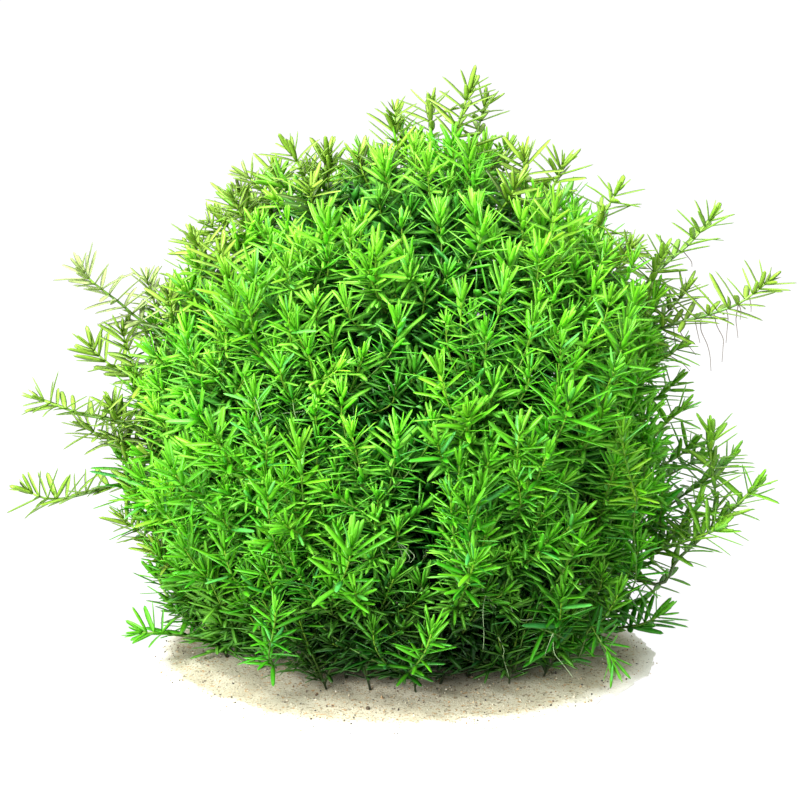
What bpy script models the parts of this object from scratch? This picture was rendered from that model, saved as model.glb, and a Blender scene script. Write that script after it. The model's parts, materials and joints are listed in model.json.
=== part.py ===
"""Dwarf rotala, an aquarium stem plant, as one dense clump rooted in its patch of sand.

Every planted stem is one solid with the two side shoots it has grown. A leafy shoot is a loft of
four-sided rings, which open in turn to the tips of its leaf whorls and close towards the stem, as
far as the neighbouring shoots leave room. Sizes are in metres. X runs to the right, Y away from
the viewer and Z up. The origin lies under the middle of the clump, on the surface that the sand
rests on.
"""

import math

import bmesh
import bpy
import numpy as np

PART_NAME = "dwarf_rotala"

# Sand bed: a low oval mound with a thin rim.
SAND_HALF_WIDTH = 0.103
SAND_HALF_DEPTH = 0.098
SAND_RIM_HEIGHT = 0.0014
SAND_RISE = 0.0052
SAND_SEGMENTS = 26
SAND_RINGS = 4
SAND_RAGGED = 0.022

# Crown: the closed surface that most leaf tips reach, widest at CROWN_WAIST_Z.
CROWN_HALF_WIDTH = 0.110
CROWN_DEPTH_RATIO = 0.88
CROWN_WAIST_Z = 0.100
CROWN_TOP_REACH = 0.116
CROWN_FOOT_REACH = 0.154
CROWN_TOP_POWER = 2.2
CROWN_FOOT_POWER = 2.0
LOWEST_TIP_Z = 0.017

# Stems: where they are planted, and how they part.
PLANTED_HALF_WIDTH = 0.074
PLANTED_HALF_DEPTH = 0.062
PLANTED_SPACING = 0.0125
STEM_RADIUS = 0.0009
SIDE_STEM_RADIUS = 0.0007
FREE_STEMS = 24
SIDE_SHOOTS = 2
SIDE_SHOOT_LENGTH = 0.046
SHOOT_SPACING = 0.031
SHOOT_SPREAD = 0.026
STEM_CLEARANCE = 0.0150
SAND_CLEARANCE = 0.0060
FORK_EASE = 0.012
ROOT_GAP = 0.0004

# Leafy shoots: how far the whorls reach from the stem, the pitch of the topmost funnel, how far the
# bud stands past the last leaf tips, and the height of the lowest whorl over the sand. The funnels
# grow longer towards the sand.
LEAF_REACH = 0.0125
OUTLYING_LEAF_REACH = 0.0108
TOP_PITCH = 0.0175
FUNNEL_LENGTHS = (0.062, 0.100, 0.155)
FUNNEL_OPENING = 0.70
FUNNEL_WAIST = 0.45
OUTLYING_WAIST = 0.55
WHORL_TWIST = math.radians(22.5)
BUD_LENGTH = 0.0055
SKIRT_HEIGHT = 0.0120
RING_SIDES = 4
NEIGHBOUR_GAP = 0.00045
GROUND_GAP = 0.0006
FIT_ROUNDS = 40

# A stem stands upright where it leaves the sand.
UPRIGHT = (0.0, 0.0, 1.0)

# Points along a path: mains are longer than side shoots.
MAIN_POINTS = 22
SIDE_POINTS = 9
TIP_ROUNDS = 90
ROOT_ROUNDS = 80
PATH_ROUNDS = 60

# Shoots that stand clear of the crown. Each has its tip, a point that it passes some 50 mm before
# the tip, and the tip of a side shoot where one can be seen to part from it.
OUTLYING_SHOOTS = (
    ("left", (-0.112, -0.022, 0.017), (-0.080, -0.018, 0.017), None),
    ("left", (-0.101, 0.030, 0.026), (-0.072, 0.026, 0.024), None),
    ("left", (-0.118, 0.004, 0.063), (-0.086, 0.002, 0.040), None),
    ("left", (-0.156, 0.014, 0.069), (-0.104, 0.012, 0.070), None),
    ("left", (-0.152, -0.016, 0.111), (-0.102, -0.012, 0.092), (-0.133, -0.004, 0.095)),
    ("left", (-0.134, 0.010, 0.128), (-0.094, 0.008, 0.112), None),
    ("left", (-0.134, -0.010, 0.166), (-0.100, -0.008, 0.136), None),
    ("left", (-0.104, 0.014, 0.161), (-0.092, 0.012, 0.130), None),
    ("left", (-0.085, -0.016, 0.184), (-0.065, -0.012, 0.150), None),
    ("top", (-0.067, 0.008, 0.198), (-0.050, 0.006, 0.165), (-0.078, 0.020, 0.185)),
    ("top", (-0.048, -0.010, 0.215), (-0.034, -0.006, 0.182), (-0.026, 0.008, 0.210)),
    ("top", (-0.002, 0.006, 0.228), (-0.003, 0.004, 0.190), (0.012, 0.016, 0.230)),
    ("top", (0.028, -0.010, 0.239), (0.018, -0.008, 0.203), (0.041, 0.000, 0.232)),
    ("top", (0.064, 0.004, 0.207), (0.057, 0.004, 0.172), (0.047, -0.014, 0.214)),
    ("right", (0.089, -0.004, 0.197), (0.076, -0.002, 0.164), (0.095, -0.024, 0.178)),
    ("right", (0.125, 0.012, 0.182), (0.094, 0.008, 0.146), None),
    ("right", (0.154, -0.008, 0.159), (0.104, -0.006, 0.136), None),
    ("right", (0.118, -0.014, 0.112), (0.090, -0.010, 0.096), (0.121, 0.008, 0.094)),
    ("right", (0.132, 0.026, 0.082), (0.098, 0.022, 0.066), None),
    ("right", (0.147, -0.006, 0.076), (0.106, -0.004, 0.046), (0.133, -0.026, 0.063)),
    ("right", (0.106, 0.006, 0.022), (0.078, 0.005, 0.019), None),
    ("front", (0.084, -0.060, 0.012), (0.079, -0.046, 0.026), None),
    ("front", (0.029, -0.108, 0.064), (0.022, -0.070, 0.050), None),
    ("front", (-0.047, -0.104, 0.073), (-0.036, -0.068, 0.056), None),
    ("front", (0.057, -0.098, 0.104), (0.044, -0.062, 0.084), None),
    ("front", (-0.018, -0.106, 0.050), (-0.014, -0.072, 0.038), None),
    ("front", (-0.045, -0.096, 0.030), (-0.036, -0.064, 0.024), None),
    ("front", (0.011, -0.100, 0.024), (0.009, -0.066, 0.020), None),
    ("back", (-0.040, 0.108, 0.120), (-0.030, 0.072, 0.098), None),
    ("back", (0.046, 0.110, 0.088), (0.036, 0.074, 0.074), None),
    ("back", (0.030, 0.084, 0.184), (0.022, 0.056, 0.150), None),
)


def unit(vectors):
    """Vectors of length one."""
    return vectors / np.maximum(np.linalg.norm(vectors, axis=-1, keepdims=True), 1e-12)


def sand_reach(angle):
    """How far the ragged rim lies out, as a share of the oval's own reach, at an angle."""
    return 1.0 + SAND_RAGGED * (0.6 * np.sin(3.0 * angle + 0.8) + 0.4 * np.sin(7.0 * angle + 2.1))


def sand_height(x, y):
    """Height of the mound's smooth upper side."""
    angle = np.arctan2(y / SAND_HALF_DEPTH, x / SAND_HALF_WIDTH)
    share = np.hypot(x / SAND_HALF_WIDTH, y / SAND_HALF_DEPTH) / sand_reach(angle)
    return SAND_RIM_HEIGHT + SAND_RISE * np.clip(1.0 - share ** 2, 0.0, 1.0)


def crown_level(points):
    """One on the crown's surface, less inside it and more outside."""
    across = np.hypot(points[:, 0], points[:, 1] / CROWN_DEPTH_RATIO) / CROWN_HALF_WIDTH
    rise = points[:, 2] - CROWN_WAIST_Z
    upper = np.clip(rise, 0.0, None) / CROWN_TOP_REACH
    lower = np.clip(-rise, 0.0, None) / CROWN_FOOT_REACH
    return across ** 2 + upper ** CROWN_TOP_POWER + lower ** CROWN_FOOT_POWER


def to_crown(points):
    """Move points along rays from the middle of the waist until they lie on the crown."""
    middle = np.array((0.0, 0.0, CROWN_WAIST_Z))
    rays = unit(points - middle)
    near = np.zeros(len(points))
    far = np.full(len(points), 2.0 * CROWN_FOOT_REACH)
    for _ in range(30):
        half = 0.5 * (near + far)
        inside = crown_level(middle + rays * half[:, None]) < 1.0
        near = np.where(inside, half, near)
        far = np.where(inside, far, half)
    moved = middle + rays * near[:, None]
    moved[:, 2] = np.maximum(moved[:, 2], LOWEST_TIP_Z)
    return moved


def crown_heading(points):
    """The way a shoot points where it ends on the crown: outwards, and turned up to the light."""
    step = 1e-5
    level = crown_level(points)
    slope = np.stack([(crown_level(points + step * axis) - level) / step for axis in np.eye(3)], axis=1)
    heading = unit(slope)
    heading[:, 2] = np.maximum(heading[:, 2], -0.10) + 0.38
    return unit(heading)


def push_apart(points, reach, strength, owner):
    """A step for each point away from the points of other owners that are nearer than reach."""
    square = np.sum(points ** 2, axis=1)
    distance_square = square[:, None] + square[None, :] - 2.0 * points @ points.T
    near = (distance_square < reach ** 2) & (owner[:, None] != owner[None, :])
    first, second = np.nonzero(near)
    away = points[first] - points[second]
    distance = np.maximum(np.linalg.norm(away, axis=1), 1e-5)
    push = away * ((reach - distance) / distance)[:, None]
    step = np.zeros_like(points)
    np.add.at(step, first, push)
    return strength * step


def spread_free_tips():
    """Tips of the stems that end on the crown, spread evenly between the outlying shoots."""
    turn = math.pi * (3.0 - math.sqrt(5.0))
    lowest = -0.70
    index = np.arange(FREE_STEMS)
    height = 0.93 - (0.93 - lowest) * (index + 0.5) / FREE_STEMS
    flat = np.sqrt(1.0 - height ** 2)
    start = np.stack([flat * np.cos(index * turn), flat * np.sin(index * turn), height], axis=1)
    tips = to_crown(start * CROWN_HALF_WIDTH + np.array((0.0, 0.0, CROWN_WAIST_Z)))
    passed = to_crown(np.array([shoot[2] for shoot in OUTLYING_SHOOTS]))
    spacing = 1.75 * SHOOT_SPACING
    for _ in range(TIP_ROUNDS):
        everything = np.vstack([tips, passed])
        step = push_apart(everything, spacing, 0.12, np.arange(len(everything)))
        tips = to_crown(tips + step[:FREE_STEMS])
    return tips


def spread_side_tips(main_tips):
    """Tips of the side shoots: around each main tip, and evenly over what is left of the crown."""
    anchors = to_crown(main_tips)
    headings = crown_heading(anchors)
    count = len(anchors)
    sides = []
    for number in range(count * SIDE_SHOOTS):
        stem = number // SIDE_SHOOTS
        across = np.cross(headings[stem], (0.0, 0.0, 1.0))
        below = np.cross(headings[stem], across)
        angle = 2.4 * stem + math.pi * (number % SIDE_SHOOTS)
        sides.append(anchors[stem] + SHOOT_SPREAD * (across * math.cos(angle) + below * math.sin(angle)))
    tips = to_crown(np.array(sides))
    owner = np.repeat(np.arange(count), SIDE_SHOOTS)
    for _ in range(TIP_ROUNDS):
        everything = np.vstack([tips, anchors])
        step = push_apart(everything, SHOOT_SPACING, 0.20, np.arange(len(everything)))
        tie = anchors[owner] - tips
        length = np.linalg.norm(tie, axis=1, keepdims=True)
        pull = 0.35 * np.clip(length - SHOOT_SPREAD, 0.0, None) * tie / np.maximum(length, 1e-6)
        tips = to_crown(tips + step[:len(tips)] + pull)
    return tips.reshape(count, SIDE_SHOOTS, 3)


def planted_points(tips):
    """Where the stems leave the sand: in the order in which their tips fan out from the middle."""
    out = tips - np.array((0.0, 0.0, CROWN_WAIST_Z))
    tilt = np.arctan2(np.hypot(out[:, 0], out[:, 1]), out[:, 2])
    angle = np.arctan2(out[:, 1] / CROWN_DEPTH_RATIO, out[:, 0])
    share = np.sqrt((1.0 - np.cos(tilt)) / (1.0 - math.cos(math.radians(136.0))))
    share = np.clip(share, 0.05, 0.98)
    oval = np.array((PLANTED_HALF_WIDTH, PLANTED_HALF_DEPTH))
    roots = np.stack([share * np.cos(angle), share * np.sin(angle)], axis=1) * oval
    for _ in range(ROOT_ROUNDS):
        flat = np.column_stack([roots, np.zeros(len(roots))])
        step = push_apart(flat, PLANTED_SPACING, 0.25, np.arange(len(roots)))
        roots = roots + step[:, :2]
        reach = np.linalg.norm(roots / oval, axis=1, keepdims=True)
        roots = roots / np.maximum(reach, 1.0)
    return roots


def bezier(start, start_pull, end_pull, end, count):
    """Points on a cubic Bezier curve."""
    share = np.linspace(0.0, 1.0, count)[:, None]
    rest = 1.0 - share
    return (rest ** 3 * start + 3.0 * rest ** 2 * share * start_pull
            + 3.0 * rest * share ** 2 * end_pull + share ** 3 * end)


def main_path(root, tip, passes):
    """A stem that rises from the sand and leans out to its tip, past a point behind it."""
    start = np.array((root[0], root[1], sand_height(root[0], root[1]) + ROOT_GAP))
    rise = 0.42 * max(tip[2] - start[2], 0.25 * np.linalg.norm(tip - start))
    lean = np.array((0.10 * (tip[0] - start[0]), 0.10 * (tip[1] - start[1]), rise))
    return bezier(start, start + lean, passes, tip, MAIN_POINTS)


def branch_index(path, side_tip):
    """The point of a main path that a side shoot parts from, about its own length below its tip."""
    distance = np.linalg.norm(path - side_tip, axis=1)
    nearest = int(np.argmin(distance))
    below = [place for place in range(3, nearest + 1) if distance[place] >= SIDE_SHOOT_LENGTH]
    return below[-1] if below else 3


def side_path(path, place, tip, heading):
    """A side shoot that parts from a stem at a small angle and turns out to its own heading."""
    start = path[place]
    along = unit(path[place + 1] - path[place - 1])
    length = np.linalg.norm(tip - start)
    first = start + 0.30 * length * unit(along + 0.9 * unit(tip - start))
    last = tip - 0.34 * length * heading
    return bezier(start, first, last, tip, SIDE_POINTS)


def resample(path, stations):
    """Points of a path at distances measured back from its tip."""
    steps = np.linalg.norm(np.diff(path, axis=0), axis=1)
    along = np.concatenate([[0.0], np.cumsum(steps)])
    wanted = along[-1] - np.asarray(stations)
    return np.stack([np.interp(wanted, along, path[:, axis]) for axis in range(3)], axis=1)


def path_length(path):
    """Length of a path."""
    return float(np.sum(np.linalg.norm(np.diff(path, axis=0), axis=1)))


def settle(shoots):
    """Ease the paths of different stems apart, with every root and every tip held where it is."""
    owner = np.concatenate([np.full(len(shoot["path"]), shoot["stem"]) for shoot in shoots])
    starts = np.cumsum([0] + [len(shoot["path"]) for shoot in shoots])
    for _ in range(PATH_ROUNDS):
        everything = np.vstack([shoot["path"] for shoot in shoots])
        step = push_apart(everything, STEM_CLEARANCE, 0.22, owner)
        for number, shoot in enumerate(shoots):
            path = shoot["path"] + step[starts[number]:starts[number + 1]]
            path[0] = shoot["path"][0]
            path[-1] = shoot["path"][-1]
            smooth = 0.5 * (path[:-2] + path[2:])
            path[1:-1] += 0.30 * (smooth - path[1:-1])
            floor = sand_height(path[1:-1, 0], path[1:-1, 1])
            rise = np.minimum(0.0025 * np.arange(1, len(path) - 1), SAND_CLEARANCE)
            path[1:-1, 2] = np.maximum(path[1:-1, 2], floor + rise)
            shoot["path"] = path
        for shoot in shoots:
            if shoot["parent"] is not None:
                shoot["path"][0] = shoots[shoot["parent"]]["path"][shoot["place"]]


def grow():
    """Every shoot of the clump, as a path from its root or its fork to its tip."""
    free_tips = spread_free_tips()
    outlying_tips = np.array([shoot[1] for shoot in OUTLYING_SHOOTS])
    tips = np.vstack([outlying_tips, free_tips])
    side_tips = spread_side_tips(tips)
    roots = planted_points(tips)
    free_headings = crown_heading(free_tips)
    shoots = []
    for stem, tip in enumerate(tips):
        outlying = stem < len(OUTLYING_SHOOTS)
        if outlying:
            area, _, passes, seen_side_tip = OUTLYING_SHOOTS[stem]
            passes = np.array(passes)
        else:
            heading = free_headings[stem - len(OUTLYING_SHOOTS)]
            area, seen_side_tip = area_of(tip), None
            passes = tip - 0.36 * np.linalg.norm(tip - np.append(roots[stem], 0.0)) * heading
        path = main_path(roots[stem], tip, passes)
        main = {"stem": stem, "area": area, "path": path, "parent": None, "place": 0, "outlying": outlying}
        shoots.append(main)
        main_number = len(shoots) - 1
        for side in range(SIDE_SHOOTS):
            side_tip = side_tips[stem, side]
            heading = crown_heading(side_tip[None, :])[0]
            if side == 0 and seen_side_tip is not None:
                side_tip = np.array(seen_side_tip)
                heading = unit(tip - passes)
            place = branch_index(path, side_tip)
            shoots.append({"stem": stem, "area": area, "path": side_path(path, place, side_tip, heading),
                           "parent": main_number, "place": place, "outlying": outlying})
    settle(shoots)
    return shoots


def area_of(tip):
    """The side of the clump that a tip is on."""
    if tip[2] > CROWN_WAIST_Z + 0.080:
        return "top"
    angle = math.degrees(math.atan2(tip[1], tip[0]))
    if -135.0 <= angle < -45.0:
        return "front"
    if -45.0 <= angle < 45.0:
        return "right"
    if 45.0 <= angle < 135.0:
        return "back"
    return "left"


def funnel_pitches(leafy):
    """Lengths of the funnels from the tip down: the topmost has its own, the lower ones stretch."""
    funnels = 2 + sum(leafy > least for least in FUNNEL_LENGTHS)
    low, high = 0.2, 4.0
    for _ in range(30):
        growth = 0.5 * (low + high)
        total = TOP_PITCH * sum(growth ** number for number in range(funnels))
        if total < leafy:
            low = growth
        else:
            high = growth
    return [TOP_PITCH * growth ** number for number in range(funnels)]


def ring_stations(length, main):
    """Distances of a shoot's rings from its tip, each with its kind, from its foot to its tip."""
    stations = [(0.0, "bud"), (BUD_LENGTH, "wide")]
    pitches = funnel_pitches(length)
    place = 0.0
    for number, pitch in enumerate(pitches):
        place += pitch
        if number + 1 < len(pitches):
            stations.append((place, "narrow"))
            stations.append((place + (1.0 - FUNNEL_OPENING) * pitches[number + 1], "wide"))
    if main and length - SKIRT_HEIGHT > stations[-1][0] + 0.5 * SKIRT_HEIGHT:
        stations.append((length - SKIRT_HEIGHT, "wide"))
    stations.append((length, "stem"))
    stations.reverse()
    return stations


def ring_axes(centres, first_run):
    """Two directions across the shoot at each ring, carried along it without twisting."""
    runs = unit(np.diff(centres, axis=0))
    along = unit(np.vstack([[first_run], runs[:-1] + runs[1:], runs[-1:]]))
    side = unit(np.cross(along[0], (0.0, 1.0, 0.0)))
    axes = []
    for direction in along:
        side = unit(side - direction * np.dot(side, direction))
        axes.append((side, np.cross(direction, side)))
    return np.array(axes)


def add_rings(shoots):
    """Give each shoot the centres, corner directions and wanted radii of its rings."""
    for number, shoot in enumerate(shoots):
        main = shoot["parent"] is None
        length = path_length(shoot["path"])
        stations = ring_stations(length, main)
        kinds = [kind for _, kind in stations]
        centres = resample(shoot["path"], [place for place, _ in stations])
        if not main:
            stem_line = fine_points(shoots[shoot["parent"]]["centres"], 0.0005)
            centres[0] = stem_line[np.argmin(np.linalg.norm(stem_line - centres[0], axis=1))]
        axes = ring_axes(centres, UPRIGHT if main else centres[1] - centres[0])
        turns = 0.9 * number + WHORL_TWIST * np.arange(len(kinds))[:, None]
        turns = turns + 2.0 * math.pi * np.arange(RING_SIDES)[None, :] / RING_SIDES
        shoot["centres"] = centres
        shoot["corners"] = (np.cos(turns)[:, :, None] * axes[:, None, 0]
                            + np.sin(turns)[:, :, None] * axes[:, None, 1])
        stem = STEM_RADIUS if main else SIDE_STEM_RADIUS
        reach = OUTLYING_LEAF_REACH if shoot["outlying"] and main else LEAF_REACH
        waist = OUTLYING_WAIST if shoot["outlying"] and main else FUNNEL_WAIST
        wanted = {"stem": stem, "narrow": waist * reach, "wide": reach, "bud": 0.0}
        least = np.array([0.0 if kind == "bud" else stem for kind in kinds])
        radii = np.array([wanted[kind] for kind in kinds])
        if not main:
            least[0] = radii[0] = 0.5 * SIDE_STEM_RADIUS
        shoot["least"] = np.repeat(least[:, None], RING_SIDES, axis=1)
        shoot["radii"] = np.repeat(radii[:, None], RING_SIDES, axis=1)


def fine_points(centres, spacing=0.002):
    """Points close together on the straight runs between ring centres."""
    points = [centres[-1:]]
    for start, end in zip(centres[:-1], centres[1:]):
        count = max(2, int(np.ceil(np.linalg.norm(end - start) / spacing)))
        share = np.arange(count)[:, None] / count
        points.append(start * (1.0 - share) + end * share)
    return np.vstack(points)


def skin_samples(ring_count):
    """Pairs of ring corners, and shares between them, that sample a shoot's skin."""
    samples = []
    for ring in range(ring_count):
        for corner in range(RING_SIDES):
            following = (corner + 1) % RING_SIDES
            here = ring * RING_SIDES + corner
            ends = [ring * RING_SIDES + following]
            if ring + 1 < ring_count:
                above = (ring + 1) * RING_SIDES
                ends += [above + corner, above + following, above + (corner - 1) % RING_SIDES]
            samples += [(here, end, share) for end in ends for share in (0.0, 0.25, 0.5, 0.75)]
    first, second, share = zip(*samples)
    return np.array(first), np.array(second), np.array(share)


def least_distance(points, others):
    """Distance from each point to the nearest of the others."""
    square = np.sum(points ** 2, axis=1)[:, None] + np.sum(others ** 2, axis=1)[None, :]
    return np.sqrt(np.clip(np.min(square - 2.0 * points @ others.T, axis=1), 0.0, None))


def neighbour_points(shoots, sampled, number):
    """Points on the shoots around one, without those by the forks that its own stem shares."""
    own = sampled[number]
    reach = 2.0 * LEAF_REACH + 0.004
    low, high = own.min(axis=0) - reach, own.max(axis=0) + reach
    stem = shoots[number]["stem"]
    forks = [shoot["path"][0] for shoot in shoots if shoot["stem"] == stem and shoot["parent"] is not None]
    kept = []
    for other, points in enumerate(sampled):
        if other == number:
            continue
        near = np.all((points > low) & (points < high), axis=1)
        points = points[near]
        if shoots[other]["stem"] == stem and len(points):
            points = points[least_distance(points, np.array(forks)) > FORK_EASE]
        kept.append(points)
    return np.vstack(kept)


def fit_radii(shoots):
    """Draw ring corners in until a shoot's skin is nearer to its own stem than to any neighbour."""
    sampled = [fine_points(shoot["centres"]) for shoot in shoots]
    for number, shoot in enumerate(shoots):
        own = sampled[number]
        others = neighbour_points(shoots, sampled, number)
        first, second, share = skin_samples(len(shoot["centres"]))
        radii = shoot["radii"].reshape(-1)
        least = shoot["least"].reshape(-1)
        corners = shoot["corners"].reshape(-1, 3)
        centres = np.repeat(shoot["centres"], RING_SIDES, axis=0)
        for _ in range(FIT_ROUNDS):
            skin = centres + corners * radii[:, None]
            points = skin[first] * (1.0 - share)[:, None] + skin[second] * share[:, None]
            crowded = least_distance(points, own) + NEIGHBOUR_GAP > least_distance(points, others)
            low = points[:, 2] < sand_height(points[:, 0], points[:, 1]) + GROUND_GAP
            failing = crowded | low
            if not np.any(failing):
                break
            drawn = np.union1d(first[failing], second[failing])
            radii[drawn] = np.maximum(radii[drawn] * 0.93, least[drawn])
        shoot["radii"] = radii.reshape(-1, RING_SIDES)


def middle_offset(shoots):
    """How far the middle of the whole clump's box lies from where the origin has to be."""
    angles = 2.0 * math.pi * np.arange(SAND_SEGMENTS) / SAND_SEGMENTS
    rim = np.stack([SAND_HALF_WIDTH * np.cos(angles), SAND_HALF_DEPTH * np.sin(angles)], axis=1)
    corners = [rim * sand_reach(angles)[:, None]]
    for shoot in shoots:
        skin = shoot["centres"][:, None, :] + shoot["corners"] * shoot["radii"][:, :, None]
        corners.append(skin.reshape(-1, 3)[:, :2])
    corners = np.vstack(corners)
    middle = 0.5 * (corners.min(axis=0) + corners.max(axis=0))
    return np.array((middle[0], middle[1], 0.0))


def new_collection(name):
    """A collection in the scene."""
    collection = bpy.data.collections.new(name)
    bpy.context.scene.collection.children.link(collection)
    return collection


def plain_material(name, colour, roughness):
    """A Principled material of one colour."""
    material = bpy.data.materials.new(name)
    material.use_nodes = True
    shader = material.node_tree.nodes["Principled BSDF"]
    shader.inputs["Base Color"].default_value = (*colour, 1.0)
    shader.inputs["Roughness"].default_value = roughness
    shader.inputs["Metallic"].default_value = 0.0
    return material


def shoot_object(name, shoot, offset, material, collection):
    """The loft through a shoot's rings, closed at its foot and drawn to a point at its bud."""
    build = bmesh.new()
    skin = shoot["centres"][:, None, :] + shoot["corners"] * shoot["radii"][:, :, None] - offset
    rings = [[build.verts.new(corner) for corner in ring] for ring in skin[:-1]]
    for lower, upper in zip(rings[:-1], rings[1:]):
        for corner in range(RING_SIDES):
            following = (corner + 1) % RING_SIDES
            build.faces.new((lower[corner], lower[following], upper[following], upper[corner]))
    build.faces.new(rings[0][::-1])
    bud = build.verts.new(skin[-1, 0])
    for corner in range(RING_SIDES):
        build.faces.new((rings[-1][corner], rings[-1][(corner + 1) % RING_SIDES], bud))
    bmesh.ops.triangulate(build, faces=build.faces)
    bmesh.ops.recalc_face_normals(build, faces=build.faces)
    mesh = bpy.data.meshes.new(name)
    build.to_mesh(mesh)
    build.free()
    mesh.materials.append(material)
    loft = bpy.data.objects.new(name, mesh)
    collection.objects.link(loft)
    return loft


def add_stems(shoots, offset, material, collection, cutters):
    """One object for each planted stem, with its side shoots joined to it."""
    counts = {}
    for number, shoot in enumerate(shoots):
        if shoot["parent"] is not None:
            continue
        counts[shoot["area"]] = counts.get(shoot["area"], 0) + 1
        name = "stem_%s_%02d" % (shoot["area"], counts[shoot["area"]])
        stem = shoot_object(name, shoot, offset, material, collection)
        for side, other in enumerate(shoots):
            if other["parent"] != number:
                continue
            branch = shoot_object("%s_side_%d" % (name, side), other, offset, material, cutters)
            branch.hide_render = True
            branch.display_type = "WIRE"
            union = stem.modifiers.new("side shoot", "BOOLEAN")
            union.operation = "UNION"
            union.solver = "EXACT"
            union.object = branch


def add_sand(offset, material, collection):
    """The mound: a profile turned about Z, then drawn out to a ragged oval."""
    profile = bpy.data.meshes.new("sand_profile")
    shares = [math.sin(0.5 * math.pi * ring / SAND_RINGS) for ring in range(SAND_RINGS, -1, -1)]
    points = [(0.0, 0.0, 0.0), (1.0, 0.0, 0.0)]
    points += [(share, 0.0, SAND_RIM_HEIGHT + SAND_RISE * (1.0 - share ** 2)) for share in shares]
    points.reverse()
    edges = [(place, place + 1) for place in range(len(points) - 1)]
    profile.from_pydata(points, edges, [])
    turned = bpy.data.objects.new("sand_turned", profile)
    collection.objects.link(turned)
    screw = turned.modifiers.new("turn", "SCREW")
    screw.steps = SAND_SEGMENTS
    screw.render_steps = SAND_SEGMENTS
    screw.use_merge_vertices = True
    screw.merge_threshold = 0.0001
    bpy.context.view_layer.update()
    mesh = bpy.data.meshes.new_from_object(turned.evaluated_get(bpy.context.evaluated_depsgraph_get()))
    mesh.name = "sand"
    build = bmesh.new()
    build.from_mesh(mesh)
    for vert in build.verts:
        reach = float(sand_reach(math.atan2(vert.co.y, vert.co.x)))
        vert.co.x = vert.co.x * SAND_HALF_WIDTH * reach - offset[0]
        vert.co.y = vert.co.y * SAND_HALF_DEPTH * reach - offset[1]
    bmesh.ops.remove_doubles(build, verts=build.verts, dist=1e-6)
    bmesh.ops.recalc_face_normals(build, faces=build.faces)
    build.to_mesh(mesh)
    build.free()
    sand = bpy.data.objects.new("sand", mesh)
    sand.data.materials.append(material)
    collection.objects.link(sand)
    bpy.data.objects.remove(turned)


def main():
    """Build the clump."""
    for old in list(bpy.data.objects):
        bpy.data.objects.remove(old)
    parts = new_collection(PART_NAME)
    cutters = new_collection(PART_NAME + "_side_shoots")
    leaf_green = plain_material("leaf_green", (0.10, 0.36, 0.03), 0.45)
    sand_cream = plain_material("sand_cream", (0.66, 0.58, 0.45), 0.9)
    shoots = grow()
    add_rings(shoots)
    fit_radii(shoots)
    offset = middle_offset(shoots)
    add_sand(offset, sand_cream, parts)
    add_stems(shoots, offset, leaf_green, parts, cutters)


if __name__ == "__main__":
    main()
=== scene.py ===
"""Looks of the dwarf rotala clump: leaves, stems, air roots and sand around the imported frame.

The paths of the shoots follow from the same values and rules as the solids of the frame, so each
leafy stem grows where its node stands. Sizes are in metres. Places in the photograph are across
and down from its upper left corner, in pixels of its frame of 800.
"""

import json
import math

import bmesh
import bpy
import numpy as np
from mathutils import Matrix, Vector

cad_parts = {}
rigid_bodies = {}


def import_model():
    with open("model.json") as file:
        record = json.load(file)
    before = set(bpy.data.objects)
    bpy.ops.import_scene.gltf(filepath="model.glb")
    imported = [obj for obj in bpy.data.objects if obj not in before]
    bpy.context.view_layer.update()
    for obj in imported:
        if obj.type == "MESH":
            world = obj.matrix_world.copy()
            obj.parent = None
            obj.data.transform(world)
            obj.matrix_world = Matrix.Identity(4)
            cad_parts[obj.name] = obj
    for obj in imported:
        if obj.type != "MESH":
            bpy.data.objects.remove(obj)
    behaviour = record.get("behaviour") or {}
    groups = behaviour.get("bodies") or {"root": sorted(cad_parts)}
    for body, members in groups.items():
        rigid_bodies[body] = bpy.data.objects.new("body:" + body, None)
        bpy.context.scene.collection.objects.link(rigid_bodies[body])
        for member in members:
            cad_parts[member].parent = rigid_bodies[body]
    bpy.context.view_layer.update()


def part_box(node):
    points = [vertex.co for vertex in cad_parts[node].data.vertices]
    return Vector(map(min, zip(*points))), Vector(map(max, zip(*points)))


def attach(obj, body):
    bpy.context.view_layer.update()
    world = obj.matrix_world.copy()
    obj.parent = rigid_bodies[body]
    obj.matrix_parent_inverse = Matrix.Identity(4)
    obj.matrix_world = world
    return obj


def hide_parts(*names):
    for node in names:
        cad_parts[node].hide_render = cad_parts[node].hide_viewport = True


SEED = 7

# Directions and phases that are used all over.
UPRIGHT = np.array((0.0, 0.0, 1.0))
FULL_TURN = 2.0 * math.pi
FULL_PHASE = 6.3

# Sand bed: a low oval mound with a thin ragged rim.
SAND_HALF_WIDTH = 0.103
SAND_HALF_DEPTH = 0.098
SAND_RIM_HEIGHT = 0.0014
SAND_RISE = 0.0052
SAND_SEGMENTS = 26
SAND_RAGGED = 0.022

# Crown: the closed surface that most leaf tips reach, widest at CROWN_WAIST_Z. Shoots never end
# pointing far down on it, and turn up to the light.
CROWN_HALF_WIDTH = 0.110
CROWN_DEPTH_RATIO = 0.88
CROWN_WAIST_Z = 0.100
CROWN_TOP_REACH = 0.116
CROWN_FOOT_REACH = 0.154
CROWN_TOP_POWER = 2.2
CROWN_FOOT_POWER = 2.0
LOWEST_TIP_Z = 0.017
WAIST = np.array((0.0, 0.0, CROWN_WAIST_Z))
TOP_RISE = 0.080
HALVINGS = 30
LOWEST_SLOPE = -0.10
LIGHT_TURN = 0.38

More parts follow.
